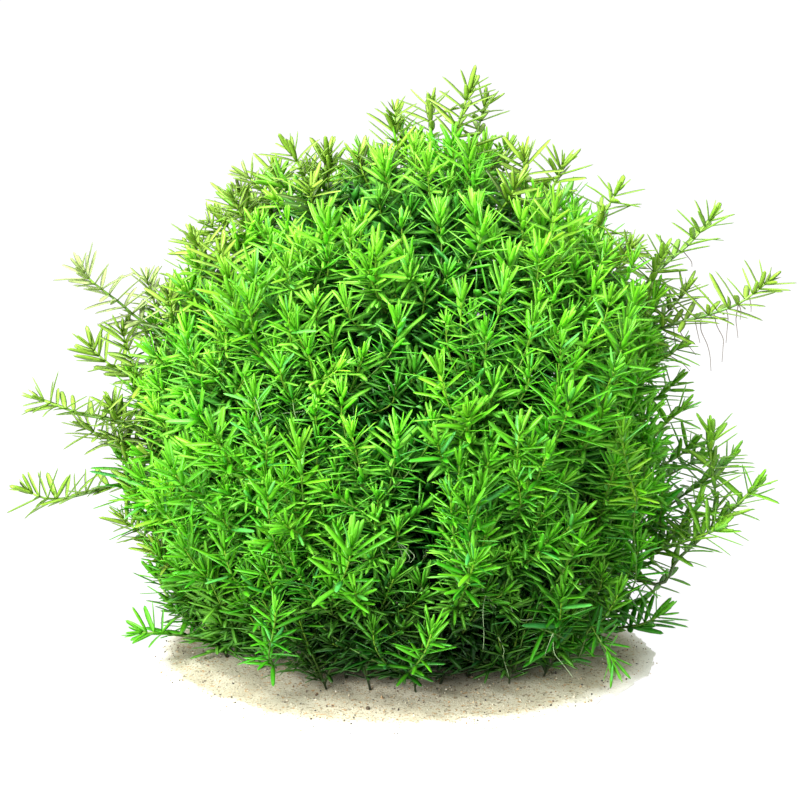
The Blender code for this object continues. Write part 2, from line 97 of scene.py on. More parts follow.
# Stems: where they are planted, and how they part.
PLANTED_HALF_WIDTH = 0.074
PLANTED_HALF_DEPTH = 0.062
PLANTED_SPACING = 0.0125
PLANTED_SHARES = (0.05, 0.98)
WIDEST_TILT = math.radians(136.0)
FREE_STEMS = 24
FREE_TIP_HEIGHTS = (0.93, -0.70)
SIDE_SHOOTS = 2
SIDE_SHOOT_LENGTH = 0.046
SHOOT_SPACING = 0.031
SHOOT_SPREAD = 0.026
FREE_TIP_SPACING = 1.75 * SHOOT_SPACING
SIDE_TURN = 2.4
STEM_CLEARANCE = 0.0150
SAND_CLEARANCE = 0.0060
ROOT_GAP = 0.0004

# Points along the paths, those next to a root that nothing parts from, and the rounds and
# strengths with which tips, roots and paths are eased apart.
MAIN_POINTS = 22
SIDE_POINTS = 9
TWIG_POINTS = 7
ROOT_POINTS = 3
TIP_ROUNDS = 90
TWIG_ROUNDS = 60
ROOT_ROUNDS = 80
PATH_ROUNDS = 60
FREE_TIP_PUSH = 0.12
TIP_PUSH = 0.20
ROOT_PUSH = 0.25
PATH_PUSH = 0.22
TIE_PULL = 0.35
SMOOTHING = 0.30
POINT_RISE = 0.0025

# Curves of the stems, as shares of the way from root to tip. A branch has the share of its length
# that it follows its stem, how soon it bends, the share on which it keeps its own heading, and its
# points.
STEM_RISE = 0.42
LEAST_RISE = 0.25
STEM_LEAN = 0.10
PASS_SHARE = 0.36
SIDE_CURVE = (0.30, 0.9, 0.34, SIDE_POINTS)
TWIG_CURVE = (0.34, 0.8, 0.42, TWIG_POINTS)

# Shoots that stand clear of the crown. Each has its tip, a point that it passes some 50 mm before
# the tip, and the tip of a side shoot where one can be seen to part from it.
OUTLYING_SHOOTS = (
    ("left", (-0.112, -0.022, 0.017), (-0.080, -0.018, 0.017), None),
    ("left", (-0.101, 0.030, 0.026), (-0.072, 0.026, 0.024), None),
    ("left", (-0.118, 0.004, 0.063), (-0.086, 0.002, 0.040), None),
    ("left", (-0.156, 0.014, 0.069), (-0.104, 0.012, 0.070), None),
    ("left", (-0.152, -0.016, 0.111), (-0.102, -0.012, 0.092), (-0.133, -0.004, 0.095)),
    ("left", (-0.134, 0.010, 0.128), (-0.094, 0.008, 0.112), None),
    ("left", (-0.134, -0.010, 0.166), (-0.100, -0.008, 0.136), None),
    ("left", (-0.104, 0.014, 0.161), (-0.092, 0.012, 0.130), None),
    ("left", (-0.085, -0.016, 0.184), (-0.065, -0.012, 0.150), None),
    ("top", (-0.067, 0.008, 0.198), (-0.050, 0.006, 0.165), (-0.078, 0.020, 0.185)),
    ("top", (-0.048, -0.010, 0.215), (-0.034, -0.006, 0.182), (-0.026, 0.008, 0.210)),
    ("top", (-0.002, 0.006, 0.228), (-0.003, 0.004, 0.190), (0.012, 0.016, 0.230)),
    ("top", (0.028, -0.010, 0.239), (0.018, -0.008, 0.203), (0.041, 0.000, 0.232)),
    ("top", (0.064, 0.004, 0.207), (0.057, 0.004, 0.172), (0.047, -0.014, 0.214)),
    ("right", (0.089, -0.004, 0.197), (0.076, -0.002, 0.164), (0.095, -0.024, 0.178)),
    ("right", (0.125, 0.012, 0.182), (0.094, 0.008, 0.146), None),
    ("right", (0.154, -0.008, 0.159), (0.104, -0.006, 0.136), None),
    ("right", (0.118, -0.014, 0.112), (0.090, -0.010, 0.096), (0.121, 0.008, 0.094)),
    ("right", (0.132, 0.026, 0.082), (0.098, 0.022, 0.066), None),
    ("right", (0.147, -0.006, 0.076), (0.106, -0.004, 0.046), (0.133, -0.026, 0.063)),
    ("right", (0.106, 0.006, 0.022), (0.078, 0.005, 0.019), None),
    ("front", (0.084, -0.060, 0.012), (0.079, -0.046, 0.026), None),
    ("front", (0.029, -0.108, 0.064), (0.022, -0.070, 0.050), None),
    ("front", (-0.047, -0.104, 0.073), (-0.036, -0.068, 0.056), None),
    ("front", (0.057, -0.098, 0.104), (0.044, -0.062, 0.084), None),
    ("front", (-0.018, -0.106, 0.050), (-0.014, -0.072, 0.038), None),
    ("front", (-0.045, -0.096, 0.030), (-0.036, -0.064, 0.024), None),
    ("front", (0.011, -0.100, 0.024), (0.009, -0.066, 0.020), None),
    ("back", (-0.040, 0.108, 0.120), (-0.030, 0.072, 0.098), None),
    ("back", (0.046, 0.110, 0.088), (0.036, 0.074, 0.074), None),
    ("back", (0.030, 0.084, 0.184), (0.022, 0.056, 0.150), None),
)

# The photograph's view: 0.4 mm of the clump cover a pixel.
CAMERA_ELEVATION = math.radians(12.0)
CAMERA_DISTANCE = 1.1
CAMERA_LENS = 123.75
SENSOR_WIDTH = 36.0
VIEW_CENTRE_HEIGHT = 0.1067
HALF_PICTURE = 400.0
PICTURE_FOCUS = 2.0 * HALF_PICTURE * CAMERA_LENS / SENSOR_WIDTH

# Dents of the leafy skin as the photograph shows them: across, down and radius in pixels, depth in
# metres, and whether the back has them too. A depth below nought is a swelling.
DENTS = (
    (190, 190, 95, 0.019, True), (300, 120, 60, 0.016, True), (365, 110, 45, 0.010, True),
    (550, 120, 55, 0.012, True), (620, 175, 45, 0.005, True), (120, 290, 55, 0.006, True),
    (690, 600, 60, -0.008, True), (700, 520, 60, -0.006, True), (680, 300, 60, -0.004, True),
    (135, 565, 55, 0.012, True), (192, 248, 40, 0.011, True), (526, 150, 36, 0.012, True),
    (582, 178, 30, 0.007, True), (370, 405, 48, 0.018, False), (390, 552, 42, 0.016, False),
    (345, 630, 42, 0.019, False), (490, 640, 46, 0.020, False), (560, 640, 40, 0.018, False),
    (640, 560, 34, 0.012, False), (250, 395, 34, 0.010, False), (575, 500, 30, 0.010, False),
    (430, 300, 34, 0.010, False), (215, 470, 30, 0.008, False), (445, 610, 30, 0.012, False),
)

# Shoots that the photograph shows well: where the tip shows, across and down in pixels, its depth in
# metres, the lean to the right and towards the viewer in degrees, the leaves' size, and whether it
# stands clear of the crown.
EXTRA_SHOOTS = (
    (468, 514, -0.099, -6, 34, 1.30, False), (268, 500, -0.094, 4, 38, 1.16, False),
    (352, 556, -0.098, 8, 40, 1.22, False), (276, 618, -0.092, 4, 42, 1.16, False),
    (432, 640, -0.094, 10, 40, 1.14, False), (570, 410, -0.086, 8, 36, 1.28, False),
    (622, 442, -0.066, -4, 30, 1.16, False), (440, 380, -0.094, -12, 34, 1.10, False),
    (288, 322, -0.080, -8, 34, 1.00, False), (376, 262, -0.076, 6, 30, 1.18, False),
    (328, 236, -0.062, -2, 26, 1.05, False), (462, 306, -0.082, 8, 32, 1.00, False),
    (428, 176, -0.040, 2, 20, 1.12, False), (470, 160, -0.030, -2, 18, 1.00, False),
    (516, 184, -0.030, 14, 16, 1.05, True), (562, 604, -0.070, 4, 40, 1.10, False),
    (620, 600, -0.052, 24, 36, 1.00, False), (384, 176, -0.036, -4, 18, 0.96, False),
    (640, 556, -0.036, 24, 20, 1.00, False), (520, 440, -0.094, 12, 38, 1.12, False),
    (232, 196, -0.004, -24, 8, 1.02, True), (246, 174, 0.006, -40, 4, 1.04, True),
    (274, 168, 0.016, -6, 4, 0.96, True), (328, 152, 0.002, 8, 8, 0.98, True),
    (358, 156, -0.010, -10, 8, 0.96, True), (664, 252, -0.010, 30, 10, 1.00, True),
    (688, 288, 0.006, 34, 4, 0.98, True), (682, 346, -0.006, 56, 10, 1.00, True),
    (676, 382, 0.006, 48, 6, 0.96, True), (172, 290, 0.004, 8, 8, 0.96, True),
    (192, 302, -0.016, -30, 10, 0.98, True), (122, 330, -0.008, -12, 8, 1.00, True),
    (112, 402, -0.012, -14, 8, 0.98, True), (148, 452, -0.016, -30, 10, 0.96, True),
    (732, 458, 0.004, 44, 8, 1.00, True), (700, 500, -0.014, 30, 16, 1.02, True),
    (712, 430, -0.008, 8, 8, 0.98, True), (662, 614, -0.022, 52, 16, 0.96, True),
    (640, 500, -0.044, 20, 26, 1.00, False), (208, 222, 0.010, -36, 4, 0.96, True),
    (402, 232, -0.052, 4, 24, 1.00, False), (440, 224, -0.050, -6, 22, 1.02, False),
    (484, 236, -0.056, 10, 24, 1.00, False), (408, 276, -0.068, -6, 28, 0.96, False),
    (504, 296, -0.072, 8, 28, 1.02, False), (486, 340, -0.080, -4, 30, 1.00, False),
    (534, 330, -0.076, 10, 30, 0.98, False), (446, 332, -0.080, 4, 30, 0.96, False),
    (398, 330, -0.082, -8, 32, 1.00, False), (540, 262, -0.058, 6, 24, 1.00, False),
)

# How such a shoot grows: its length, how much of its lean towards the viewer it keeps, how
# unlikely a stem above its tip bears it, and the room around it, in metres and in pixels.
EXTRA_LENGTH = 0.036
NOD_SHARE = 0.75
ABOVE_WEIGHT = 10.0
EXTRA_ROOM = 0.012
ROOM_DEPTH = 0.050
ROOM_ACROSS = 26
ROOM_DOWN = 32
ROOM_BELOW = 14

# Stems that can be followed in the photograph: the shoot's number, and the places of its last
# stretch from the tip inwards, across and down in pixels.
SEEN_STEMS = {
    48: ((770, 280), (755, 292), (740, 303), (720, 311), (700, 317), (680, 322), (655, 332), (630, 350)),
    45: ((713, 216), (700, 232), (685, 248), (668, 262), (645, 285), (625, 310)),
    57: ((757, 484), (745, 497), (730, 512), (710, 530), (690, 548), (675, 562), (660, 585)),
    9: ((27, 490), (40, 497), (58, 499), (80, 495), (100, 489), (120, 484), (150, 484), (175, 487)),
    12: ((38, 399), (55, 405), (75, 412), (100, 418), (125, 422), (140, 430)),
    13: ((82, 425), (95, 433), (110, 439), (130, 441), (150, 443), (175, 448), (200, 455)),
    18: ((80, 268), (90, 280), (105, 292), (120, 303), (132, 314), (145, 325)),
    15: ((90, 345), (100, 357), (115, 368), (135, 378), (160, 392)),
    21: ((147, 278), (150, 290), (156, 307), (163, 325), (170, 345)),
    36: ((471, 86), (466, 100), (460, 118), (455, 135), (448, 155)),
    37: ((486, 100), (482, 115), (477, 132), (470, 150)),
    33: ((395, 110), (395, 130), (395, 150), (394, 180)),
    34: ((432, 102), (431, 120), (430, 140)),
    39: ((563, 163), (556, 180), (549, 198), (540, 220)),
    42: ((618, 190), (610, 203), (600, 222), (592, 240)),
    63: ((615, 668), (612, 658), (606, 648), (598, 638), (590, 626)),
    30: ((290, 150), (300, 168), (310, 190), (318, 210), (325, 230)),
}

# Air roots: area, tone, radius, the depth that the stems they hang from don't exceed, and the roots.
# Each root starts across and down in pixels, and its bends lie to the right of that and below it.
AIR_ROOTS = (
    ("right", 0, 0.00022, 0.05, (
        (699, 318, (2, 12), (8, 26), (11, 38), (12, 53)),
        (694, 318, (3, 12), (6, 25)),
        (711, 314, (6, 12), (12, 24), (12, 34), (11, 48)),
        (725, 309, (3, 9), (2, 22), (1, 34)),
        (736, 305, (0, 14), (1, 24), (2, 33)),
        (741, 302, (0, 9), (-1, 18)),
        (750, 299, (1, 7), (1, 13)),
        (678, 331, (8, 11), (18, 24)),
        (672, 358, (10, 5), (18, 13)),
        (690, 255, (1, 6), (2, 12)))),
    ("front", 1, 0.00012, -0.070, (
        (408, 546, (-6, 8), (-5, 17)), (411, 546, (-2, 10), (-3, 16)),
        (414, 546, (0, 9), (-4, 17)), (385, 550, (7, 8), (15, 13), (25, 11)),
        (420, 548, (3, 9), (8, 18), (12, 24)), (422, 545, (3, 6), (5, 11)),
        (428, 540, (-2, 8), (1, 12)), (365, 540, (7, 3), (15, 8), (21, 13)),
        (478, 576, (8, 4), (15, 8)), (478, 580, (3, 8), (9, 18), (14, 28)),
        (480, 582, (8, 14), (16, 26)), (483, 590, (0, 20), (1, 45), (0, 60)),
        (511, 610, (4, 6), (12, 10), (22, 9)),
        (501, 635, (3, 15), (2, 22), (6, 35), (8, 42)),
        (551, 644, (3, 8), (10, 18), (18, 28), (22, 34)),
        (549, 646, (-3, 5), (-4, 10)), (388, 650, (12, 6), (18, 15), (24, 26)),
        (404, 658, (5, 10), (8, 19)), (515, 560, (8, 2), (14, 5)),
        (534, 602, (10, 4), (20, 8)), (250, 390, (8, 15), (12, 30)),
        (285, 402, (10, 13), (15, 23)), (300, 411, (-14, 2), (-26, 5)),
        (300, 412, (18, -3), (30, -1)), (352, 398, (1, 8), (2, 17)),
        (354, 400, (3, 8), (6, 17)), (340, 382, (10, 13), (16, 23)),
        (332, 418, (0, 7), (0, 13)), (388, 378, (1, 7), (2, 13)),
        (255, 408, (4, 9), (7, 17)), (378, 349, (1, 6), (2, 12)))),
)
AIR_ROOT_SIDES = 4
AIR_ROOT_TAPER = 0.45
AIR_ROOT_STEP = 0.0003
LOWEST_AIR_ROOT = 0.003
NEAR_WEIGHT = 1000.0

# The leafy skin of the crown: its lumps, how it draws in at the foot in front, and its limits.
LUMP_WAVES = 7
LUMP_LENGTHS = (0.045, 0.095)
LUMP_HEIGHT = 0.0062
FOOT_HEIGHT = 0.050
FOOT_DENT = 0.018
FOOT_LIFT = 0.016
FOOT_SLOPE = 0.23
FRONT_SPAN = 0.050
DEEPEST_TIP = 0.0975
HIGHEST_TIP = 0.222
LOWEST_TWIG = 0.012

# Tips of the stems' own shoots: which stand clear, how much is cut off them, and how they rise.
CLEAR_LEVEL = 1.12
CLEAR_DENT = 0.006
CLEAR_CUT = 0.0085
SPARE_CUT = 0.006
LONGEST_CUT = 0.6
LOW_TIP = 0.036
LOW_TIP_DEPTH = -0.030
LOW_CUT = 0.012
LOW_SIZE = 0.86
FRONT_DEPTH = -0.045
FRONT_RISE = 0.008
TIP_RISE = 0.0040
TIP_RISE_LENGTH = 0.026

# Twigs: small shoots that fill the crown between the tips of the bigger ones. Some end deeper.
TWIGS_PER_TIP = 5
TWIG_SPREAD = 0.0140
TWIG_REACH = 0.0190
TWIG_SPACING = 0.0150
TWIG_LENGTH = 0.034
TWIG_LIFT = 0.82
TWIG_LIFTS = (0.4, 1.6)
TWIG_LEAN = 0.34
TIP_UNEVEN = 0.0050
TIP_SINK = 0.001
MOST_UNEVEN = 0.012
DEEP_TWIGS = 3
DEEP_SHIFT = (0.009, 0.026)
DENT_LEVEL = 17.0

# The hollow low in front: its limits, the run of deep twigs of which one is kept, and how much
# bigger the other twigs' leaves are.
OPEN_FRONT_DEPTH = -0.045
OPEN_FRONT_HEIGHT = 0.066
OPEN_FRONT_RUN = 3
OPEN_FRONT_GAIN = 0.10

# Inner twigs: where they start and end along a stem, their spacing and length, how far they follow
# the stem and the light, and how they are shortened until they end inside the crown.
INNER_TWIG_START = 0.016
INNER_TWIG_END = 0.010
INNER_TWIG_STEP = 0.0088
INNER_TWIG_LENGTH = 0.028
INNER_TWIG_LEVEL = 0.80
INNER_TIP_LEVEL = 0.88
INNER_STATION_STEP = 0.002
INNER_FOLLOW = 0.55
INNER_LIGHT = 0.25
INNER_END_LIGHT = 0.6
INNER_CURVE = (0.34, 0.30)
INNER_STEPS = (0.7, 1.3)
INNER_LENGTHS = (0.7, 1.2)
SHORTENINGS = 4
SHORTER = 0.78

# Tubes of the stems: their radius at the foot by kind of shoot, and at the tip, and their sides.
FEET = {"main": 0.00068, "side": 0.00050, "twig": 0.00038, "inner": 0.00038}
TIP_RADIUS = 0.00030
FOOT_LENGTH = 0.09
CLEAR_STEM_GAIN = 1.45
TUBE_STEP = 0.0040
TUBE_SIDES = {"main": 5, "side": 4, "twig": 4, "inner": 3}
ROOT_DEPTH = 0.0012

# Whorls: four leaves each, at distances from a shoot's tip and then evenly. In the crown each
# whorl is turned against the next. Those that stand clear are in line.
WHORL_LEAVES = 4
INTERNODE = 0.0047
WHORL_END = 0.003
LENGTH_PLACES = (0.0, 0.0010, 0.0025, 0.0050, 0.0085)
OPENING_PLACES = (0.0, 0.0015, 0.0040, 0.0080, 0.0140, 0.0300, 0.0800)
OPENINGS_HELD = (4.0, 105.0)
LIGHT_PLACES = (0.0, 0.0040, 0.0120)
LIGHT_SHARES = (0.10, 0.35, 1.00)
IN_CROWN = {
    "whorls": (0.0006, 0.0024, 0.0050, 0.0080, 0.0114, 0.0152, 0.0194, 0.0240),
    "stretch": (0.86, 1.16), "size": (0.78, 1.10), "width": 1.0,
    "turn": math.pi / WHORL_LEAVES, "sway": 0.26, "light": 0.40,
    "lengths": (0.46, 0.66, 0.84, 0.96, 1.00),
    "openings": (10.0, 26.0, 44.0, 57.0, 66.0, 73.0, 80.0),
}
STANDING_CLEAR = {
    "whorls": (0.0006, 0.0026, 0.0054, 0.0086, 0.0121, 0.0158, 0.0197, 0.0237, 0.0278),
    "stretch": (0.94, 1.08), "size": (0.96, 1.08), "width": 1.15,
    "turn": 0.0, "sway": 0.17, "light": 0.66,
    "lengths": (0.38, 0.60, 0.84, 1.00, 1.06),
    "openings": (26.0, 42.0, 56.0, 63.0, 67.0, 72.0, 80.0),
}
CLEAR_TURN = 0.15
LIGHT_UNEVEN = 0.12
WHORL_STEP = 0.0015

# A leaf: its length, half width and thickness, how these run from its foot to its tip, and how
# far single leaves differ.
LEAF_LENGTH = 0.0138
LEAF_HALF_WIDTH = 0.00096
LEAF_THICKNESS = 0.00026
THINNING = 0.45
PALE_THICKENING = 1.1
PROFILE_PLACES = (0.00, 0.08, 0.20, 0.36, 0.58, 0.76, 0.90, 1.00)
PROFILE_WIDTHS = (0.42, 0.64, 0.88, 0.99, 1.00, 0.93, 0.74, 0.00)
WIDTH_POWER = 0.7
GUTTER = 0.22
UNDER_SHARE = 0.70
OVER_SHARE = 0.30
LEAF_TILT = 11.0
LEAF_TWIST = 0.34
REACHES = (0.74, 1.10)
WIDTHS = (0.84, 1.14)
LEAF_CURVE = (0.05, 0.06)
BUD_CURVE = 0.10
BUD_PLACE = 0.003
FULL_PLACE = 0.006
MISSING_SHARE = 0.09
FOOT_PLACE = 0.6

# How low leaves hang: over the sand, and lower past its right edge.
LOWEST_LEAF = 0.0025
LEAF_SLOPE = 0.165
LOWEST_POINT = 0.0008
HANGING_FROM = 0.066
HANGING_SPAN = 0.010
MOST_LIFT = 0.9

# Depth in the crown: leaves deeper than these levels are plainer, and then sparser and wider.
FINE_LEVEL = 0.87
FINE_LENGTH = 0.006
INNER_LEVEL = 0.62
SMALL_LEAF = 0.0055
INNER_RUN = 3
INNER_LENGTH_GAIN = 1.20
INNER_WIDTH_GAIN = 1.75
FINE_RINGS = (0.0, 0.24, 0.60, 0.91)
PLAIN_RINGS = (0.0, 0.36, 0.84)
INNER_RINGS = (0.0, 0.45)
FULL_SIDES = 4

# Tone of the leaves by the shoot's place in the photograph: warmer and lighter at the sides and above,
# painted light from above and through the leaves at the rim, plus a share of chance.
TONE_BASE = 0.30
TONE_MIDDLE = 450
TONE_RIM_LIGHT = (0.34, 300)
TONE_TOP_LIGHT = (0.24, 250)
TONE_UNEVEN = 0.24
LEAF_TONE_SHARE = 0.35

# Paleness of the leaves: where it starts and is full, across and down in pixels, by the level in
# the crown's outline, and by height and depth, and how strong it is. The pale colour is partly the
# leaves' own tone and partly painted backlight where they stand at the outline.
PALE_ACROSS = (430, 240)
PALE_DOWN = (420, 260)
PALE_LEVEL = (0.74, 0.34)
PALE_NEAR = (1.6, 0.045)
PALE_HIGH = (0.135, 0.070)
EDGE_PALENESS = 0.6
HIGH_PALENESS = 0.34
PALE_BACK = (0.010, 0.030)
BACK_PALENESS = 0.62
CLEAR_PALENESS = 0.60
CLEAR_UNEVEN = 0.12
GREENER_ACROSS = (500, 600)
GREENER_DOWN = (310, 360)
LEAST_GREENER = 0.25
MOST_GREENER = 0.40

# Light in the crown: gains of the leaves' colour by depth, their mottling, and the shade at the
# foot, which eases off to the sides.
LIGHT_GAINS = ((0.0, 0.94), (0.10, 0.90), (0.24, 0.84), (0.45, 1.16), (0.65, 1.36), (1.0, 1.05))
MOTTLE = [(0.3, (0.80, 0.80, 0.80, 1.0)), (0.7, (1.0, 1.0, 1.0, 1.0))]
OUTER_LEVEL = 1.15
INSIDE_SPAN = 0.60
YOUNG_LENGTH = 0.030
FOOT_SHADE = 0.89
FOOT_DARK = (0.08, 0.13, 0.18, 1.0)
FOOT_SHADE_HEIGHT = 0.060
FOOT_SHADE_SPAN = 0.030
FOOT_SHADE_INSIDE = (0.18, 0.24)
LEAST_FOOT_SHADE = 0.12
FOOT_SHADE_EASE = 0.42
FOOT_SHADE_SIDE = 0.030
STEM_DEPTH_SPAN = 0.75
STEM_AGE_LENGTH = 0.060
STEM_SHADE_HEIGHT = 0.030

# Values that the meshes carry, the columns of the table of leaves, and how a leaf or a tube lies
# on the map: leaves in cells of their own above LEAF_MAP_FOOT, and tubes in rows below it.
VALUE_NAMES = ("tone", "sheen_pick", "age", "depth", "pale", "low", "edge")
LEAF_COLUMNS = ("stem", "foot", "heading", "face", "length", "width", "curve", "tone",
                "sheen_pick", "place", "level", "pale")
LEAF_MAP_FOOT = 0.14
CELL_SIZE = np.array((0.90, 0.84))
CELL_CORNER = np.array((0.05, 0.08))
ROW_SIZE = np.array((0.96, 0.8))
ROW_CORNER = (0.02, 0.1)
CAP_RADIUS = (0.01, 0.3)
CAP_MIDDLE = (0.02, 0.5)
CAP_APART = np.array((0.95, 0.0))

# The sand's own piece: rings and segments, the thin edge, and its ragged rim and rough top, each
# wave with its height and then its number round the rim and phase, or its lengths and count.
SAND_PIECE_RINGS = 48
SAND_PIECE_SEGMENTS = 200
SAND_EDGE_HEIGHT = 0.0004
RING_POWER = 0.9
RIM_INSET = 0.012
RIM_WAVES = ((0.006, 23.0, 1.0), (0.005, 41.0, 0.4), (0.004, 87.0, 0.0))
ROUGH_WAVES = ((0.0011, 0.012, 0.045, 14), (0.0007, 0.0035, 0.010, 24))
RIM_SPAN = 0.10
ROUGH_SPAN = 0.12
SAND_SINK = 0.0002
LOWEST_SAND = 0.00025
SHARP_ANGLE = math.radians(50.0)

# Loose grains: all over the sand and along its rim.
GRAIN_COUNT = 2600
RIM_GRAIN_COUNT = 260
GRAIN_SHARES = (0.02, 0.98)
RIM_GRAINS = (0.965, 0.030, 0.6)
FURTHEST_GRAIN = 1.010
LAST_ON_SAND = 0.97
GRAIN_RADIUS = 0.00020
GRAIN_GROWTH = (0.00028, 2.2)
BIG_GRAINS = 0.988
GRAIN_TONE_POWER = 1.9
RIM_TONE = 0.45
GRAIN_STRETCH = (0.65, 1.25)
GRAIN_LUMPS = (0.82, 1.12)
GRAIN_SEAT = 0.45

# Light: the room's, then each lamp's name, place, size in metres and power in watts.
WORLD_STRENGTH = 1.20
LAMPS = (
    ("lamp_above", (-0.34, -0.45, 1.15), 0.6, 34.0),
    ("lamp_front", (-0.75, -1.15, 0.62), 0.8, 42.0),
)
LAMP_AIM = (0.0, 0.0, 0.1)
WHITE = (1.0, 1.0, 1.0, 1.0)

# The floor is so evenly white that the thinnest leaves and roots stay dark against it.
FLOOR_SIZE = 30.0
FLOOR_COLOUR = (0.05, 0.05, 0.05, 1.0)
FLOOR_GLOW = 0.98


def unit(vectors):
    """Vectors of length one."""
    return vectors / np.maximum(np.linalg.norm(vectors, axis=-1, keepdims=True), 1e-12)


def held(value):
    """A value held between nought and one."""
    return np.clip(value, 0.0, 1.0)


def eased(value, start, end):
    """Nought up to a start, one from an end on, and a straight slope between them."""
    return held((value - start) / (end - start))


def sand_reach(angle):
    """How far the ragged rim lies out, as a share of the oval's own reach, at an angle."""
    return 1.0 + SAND_RAGGED * (0.6 * np.sin(3.0 * angle + 0.8) + 0.4 * np.sin(7.0 * angle + 2.1))


def sand_share(x, y):
    """How far out a place on the sand lies, as a share of the way to its rim."""
    angle = np.arctan2(y / SAND_HALF_DEPTH, x / SAND_HALF_WIDTH)
    return np.hypot(x / SAND_HALF_WIDTH, y / SAND_HALF_DEPTH) / sand_reach(angle)


def sand_height(x, y):
    """Height of the mound's smooth upper side."""
    return SAND_RIM_HEIGHT + SAND_RISE * held(1.0 - sand_share(x, y) ** 2)


def crown_level(points):
    """One on the crown's surface, less inside it and more outside."""
    across = np.hypot(points[:, 0], points[:, 1] / CROWN_DEPTH_RATIO) / CROWN_HALF_WIDTH
    rise = points[:, 2] - CROWN_WAIST_Z
    upper = np.clip(rise, 0.0, None) / CROWN_TOP_REACH
    lower = np.clip(-rise, 0.0, None) / CROWN_FOOT_REACH
    return across ** 2 + upper ** CROWN_TOP_POWER + lower ** CROWN_FOOT_POWER


def to_crown(points):
    """Move points along rays from the middle of the waist until they lie on the crown."""
    rays = unit(points - WAIST)
    near = np.zeros(len(points))
    far = np.full(len(points), 2.0 * CROWN_FOOT_REACH)
    for _ in range(HALVINGS):
        half = 0.5 * (near + far)
        inside = crown_level(WAIST + rays * half[:, None]) < 1.0
        near = np.where(inside, half, near)
        far = np.where(inside, far, half)
    moved = WAIST + rays * near[:, None]
    moved[:, 2] = np.maximum(moved[:, 2], LOWEST_TIP_Z)
    return moved


def crown_heading(points):
    """The way a shoot points where it ends on the crown: outwards, and turned up to the light."""
    step = 1e-5
    level = crown_level(points)
    slope = np.stack([(crown_level(points + step * axis) - level) / step for axis in np.eye(3)], axis=1)
    heading = unit(slope)
    heading[:, 2] = np.maximum(heading[:, 2], LOWEST_SLOPE) + LIGHT_TURN
    return unit(heading)


def push_apart(points, reach, strength, owner):
    """A step for each point away from the points of other owners that are nearer than reach."""
    square = np.sum(points ** 2, axis=1)
    distance_square = square[:, None] + square[None, :] - 2.0 * points @ points.T
    near = (distance_square < reach ** 2) & (owner[:, None] != owner[None, :])
    first, second = np.nonzero(near)
    away = points[first] - points[second]
    distance = np.maximum(np.linalg.norm(away, axis=1), 1e-5)
    push = away * ((reach - distance) / distance)[:, None]
    step = np.zeros_like(points)
    np.add.at(step, first, push)
    return strength * step


def spread_free_tips():
    """Tips of the stems that end on the crown, spread evenly between the outlying shoots."""
    turn = math.pi * (3.0 - math.sqrt(5.0))
    highest, lowest = FREE_TIP_HEIGHTS
    index = np.arange(FREE_STEMS)
    height = highest - (highest - lowest) * (index + 0.5) / FREE_STEMS
    flat = np.sqrt(1.0 - height ** 2)
    start = np.stack([flat * np.cos(index * turn), flat * np.sin(index * turn), height], axis=1)
    tips = to_crown(start * CROWN_HALF_WIDTH + WAIST)
    passed = to_crown(np.array([shoot[2] for shoot in OUTLYING_SHOOTS]))
    for _ in range(TIP_ROUNDS):
        everything = np.vstack([tips, passed])
        step = push_apart(everything, FREE_TIP_SPACING, FREE_TIP_PUSH, np.arange(len(everything)))
        tips = to_crown(tips + step[:FREE_STEMS])
    return tips


def tied_tips(tips, anchors, owner, spacing, reach, rounds):
    """Tips spread evenly over the crown, each pulled back towards its anchor from beyond a reach."""
    for _ in range(rounds):
        everything = np.vstack([tips, anchors])
        step = push_apart(everything, spacing, TIP_PUSH, np.arange(len(everything)))
        tie = anchors[owner] - tips
        length = np.linalg.norm(tie, axis=1, keepdims=True)
        pull = TIE_PULL * np.clip(length - reach, 0.0, None) * tie / np.maximum(length, 1e-6)
        tips = to_crown(tips + step[:len(tips)] + pull)
    return tips


def spread_side_tips(main_tips):
    """Tips of the side shoots: around each main tip, and evenly over what is left of the crown."""
    anchors = to_crown(main_tips)
    headings = crown_heading(anchors)
    count = len(anchors)
    sides = []
    for number in range(count * SIDE_SHOOTS):
        stem = number // SIDE_SHOOTS
        across = np.cross(headings[stem], UPRIGHT)
        below = np.cross(headings[stem], across)
        angle = SIDE_TURN * stem + math.pi * (number % SIDE_SHOOTS)
        sides.append(anchors[stem] + SHOOT_SPREAD * (across * math.cos(angle) + below * math.sin(angle)))
    owner = np.repeat(np.arange(count), SIDE_SHOOTS)
    tips = tied_tips(to_crown(np.array(sides)), anchors, owner, SHOOT_SPACING, SHOOT_SPREAD, TIP_ROUNDS)
    return tips.reshape(count, SIDE_SHOOTS, 3)


def planted_points(tips):
    """Where the stems leave the sand: in the order in which their tips fan out from the middle."""
    out = tips - WAIST
    tilt = np.arctan2(np.hypot(out[:, 0], out[:, 1]), out[:, 2])
    angle = np.arctan2(out[:, 1] / CROWN_DEPTH_RATIO, out[:, 0])
    share = np.sqrt((1.0 - np.cos(tilt)) / (1.0 - math.cos(WIDEST_TILT)))
    share = np.clip(share, *PLANTED_SHARES)
    oval = np.array((PLANTED_HALF_WIDTH, PLANTED_HALF_DEPTH))
    roots = np.stack([share * np.cos(angle), share * np.sin(angle)], axis=1) * oval
    for _ in range(ROOT_ROUNDS):
        flat = np.column_stack([roots, np.zeros(len(roots))])
        step = push_apart(flat, PLANTED_SPACING, ROOT_PUSH, np.arange(len(roots)))
        roots = roots + step[:, :2]
        reach = np.linalg.norm(roots / oval, axis=1, keepdims=True)
        roots = roots / np.maximum(reach, 1.0)
    return roots


def bezier(start, start_pull, end_pull, end, count):
    """Points on a cubic Bezier curve."""
    share = np.linspace(0.0, 1.0, count)[:, None]
    rest = 1.0 - share
    return (rest ** 3 * start + 3.0 * rest ** 2 * share * start_pull
            + 3.0 * rest * share ** 2 * end_pull + share ** 3 * end)


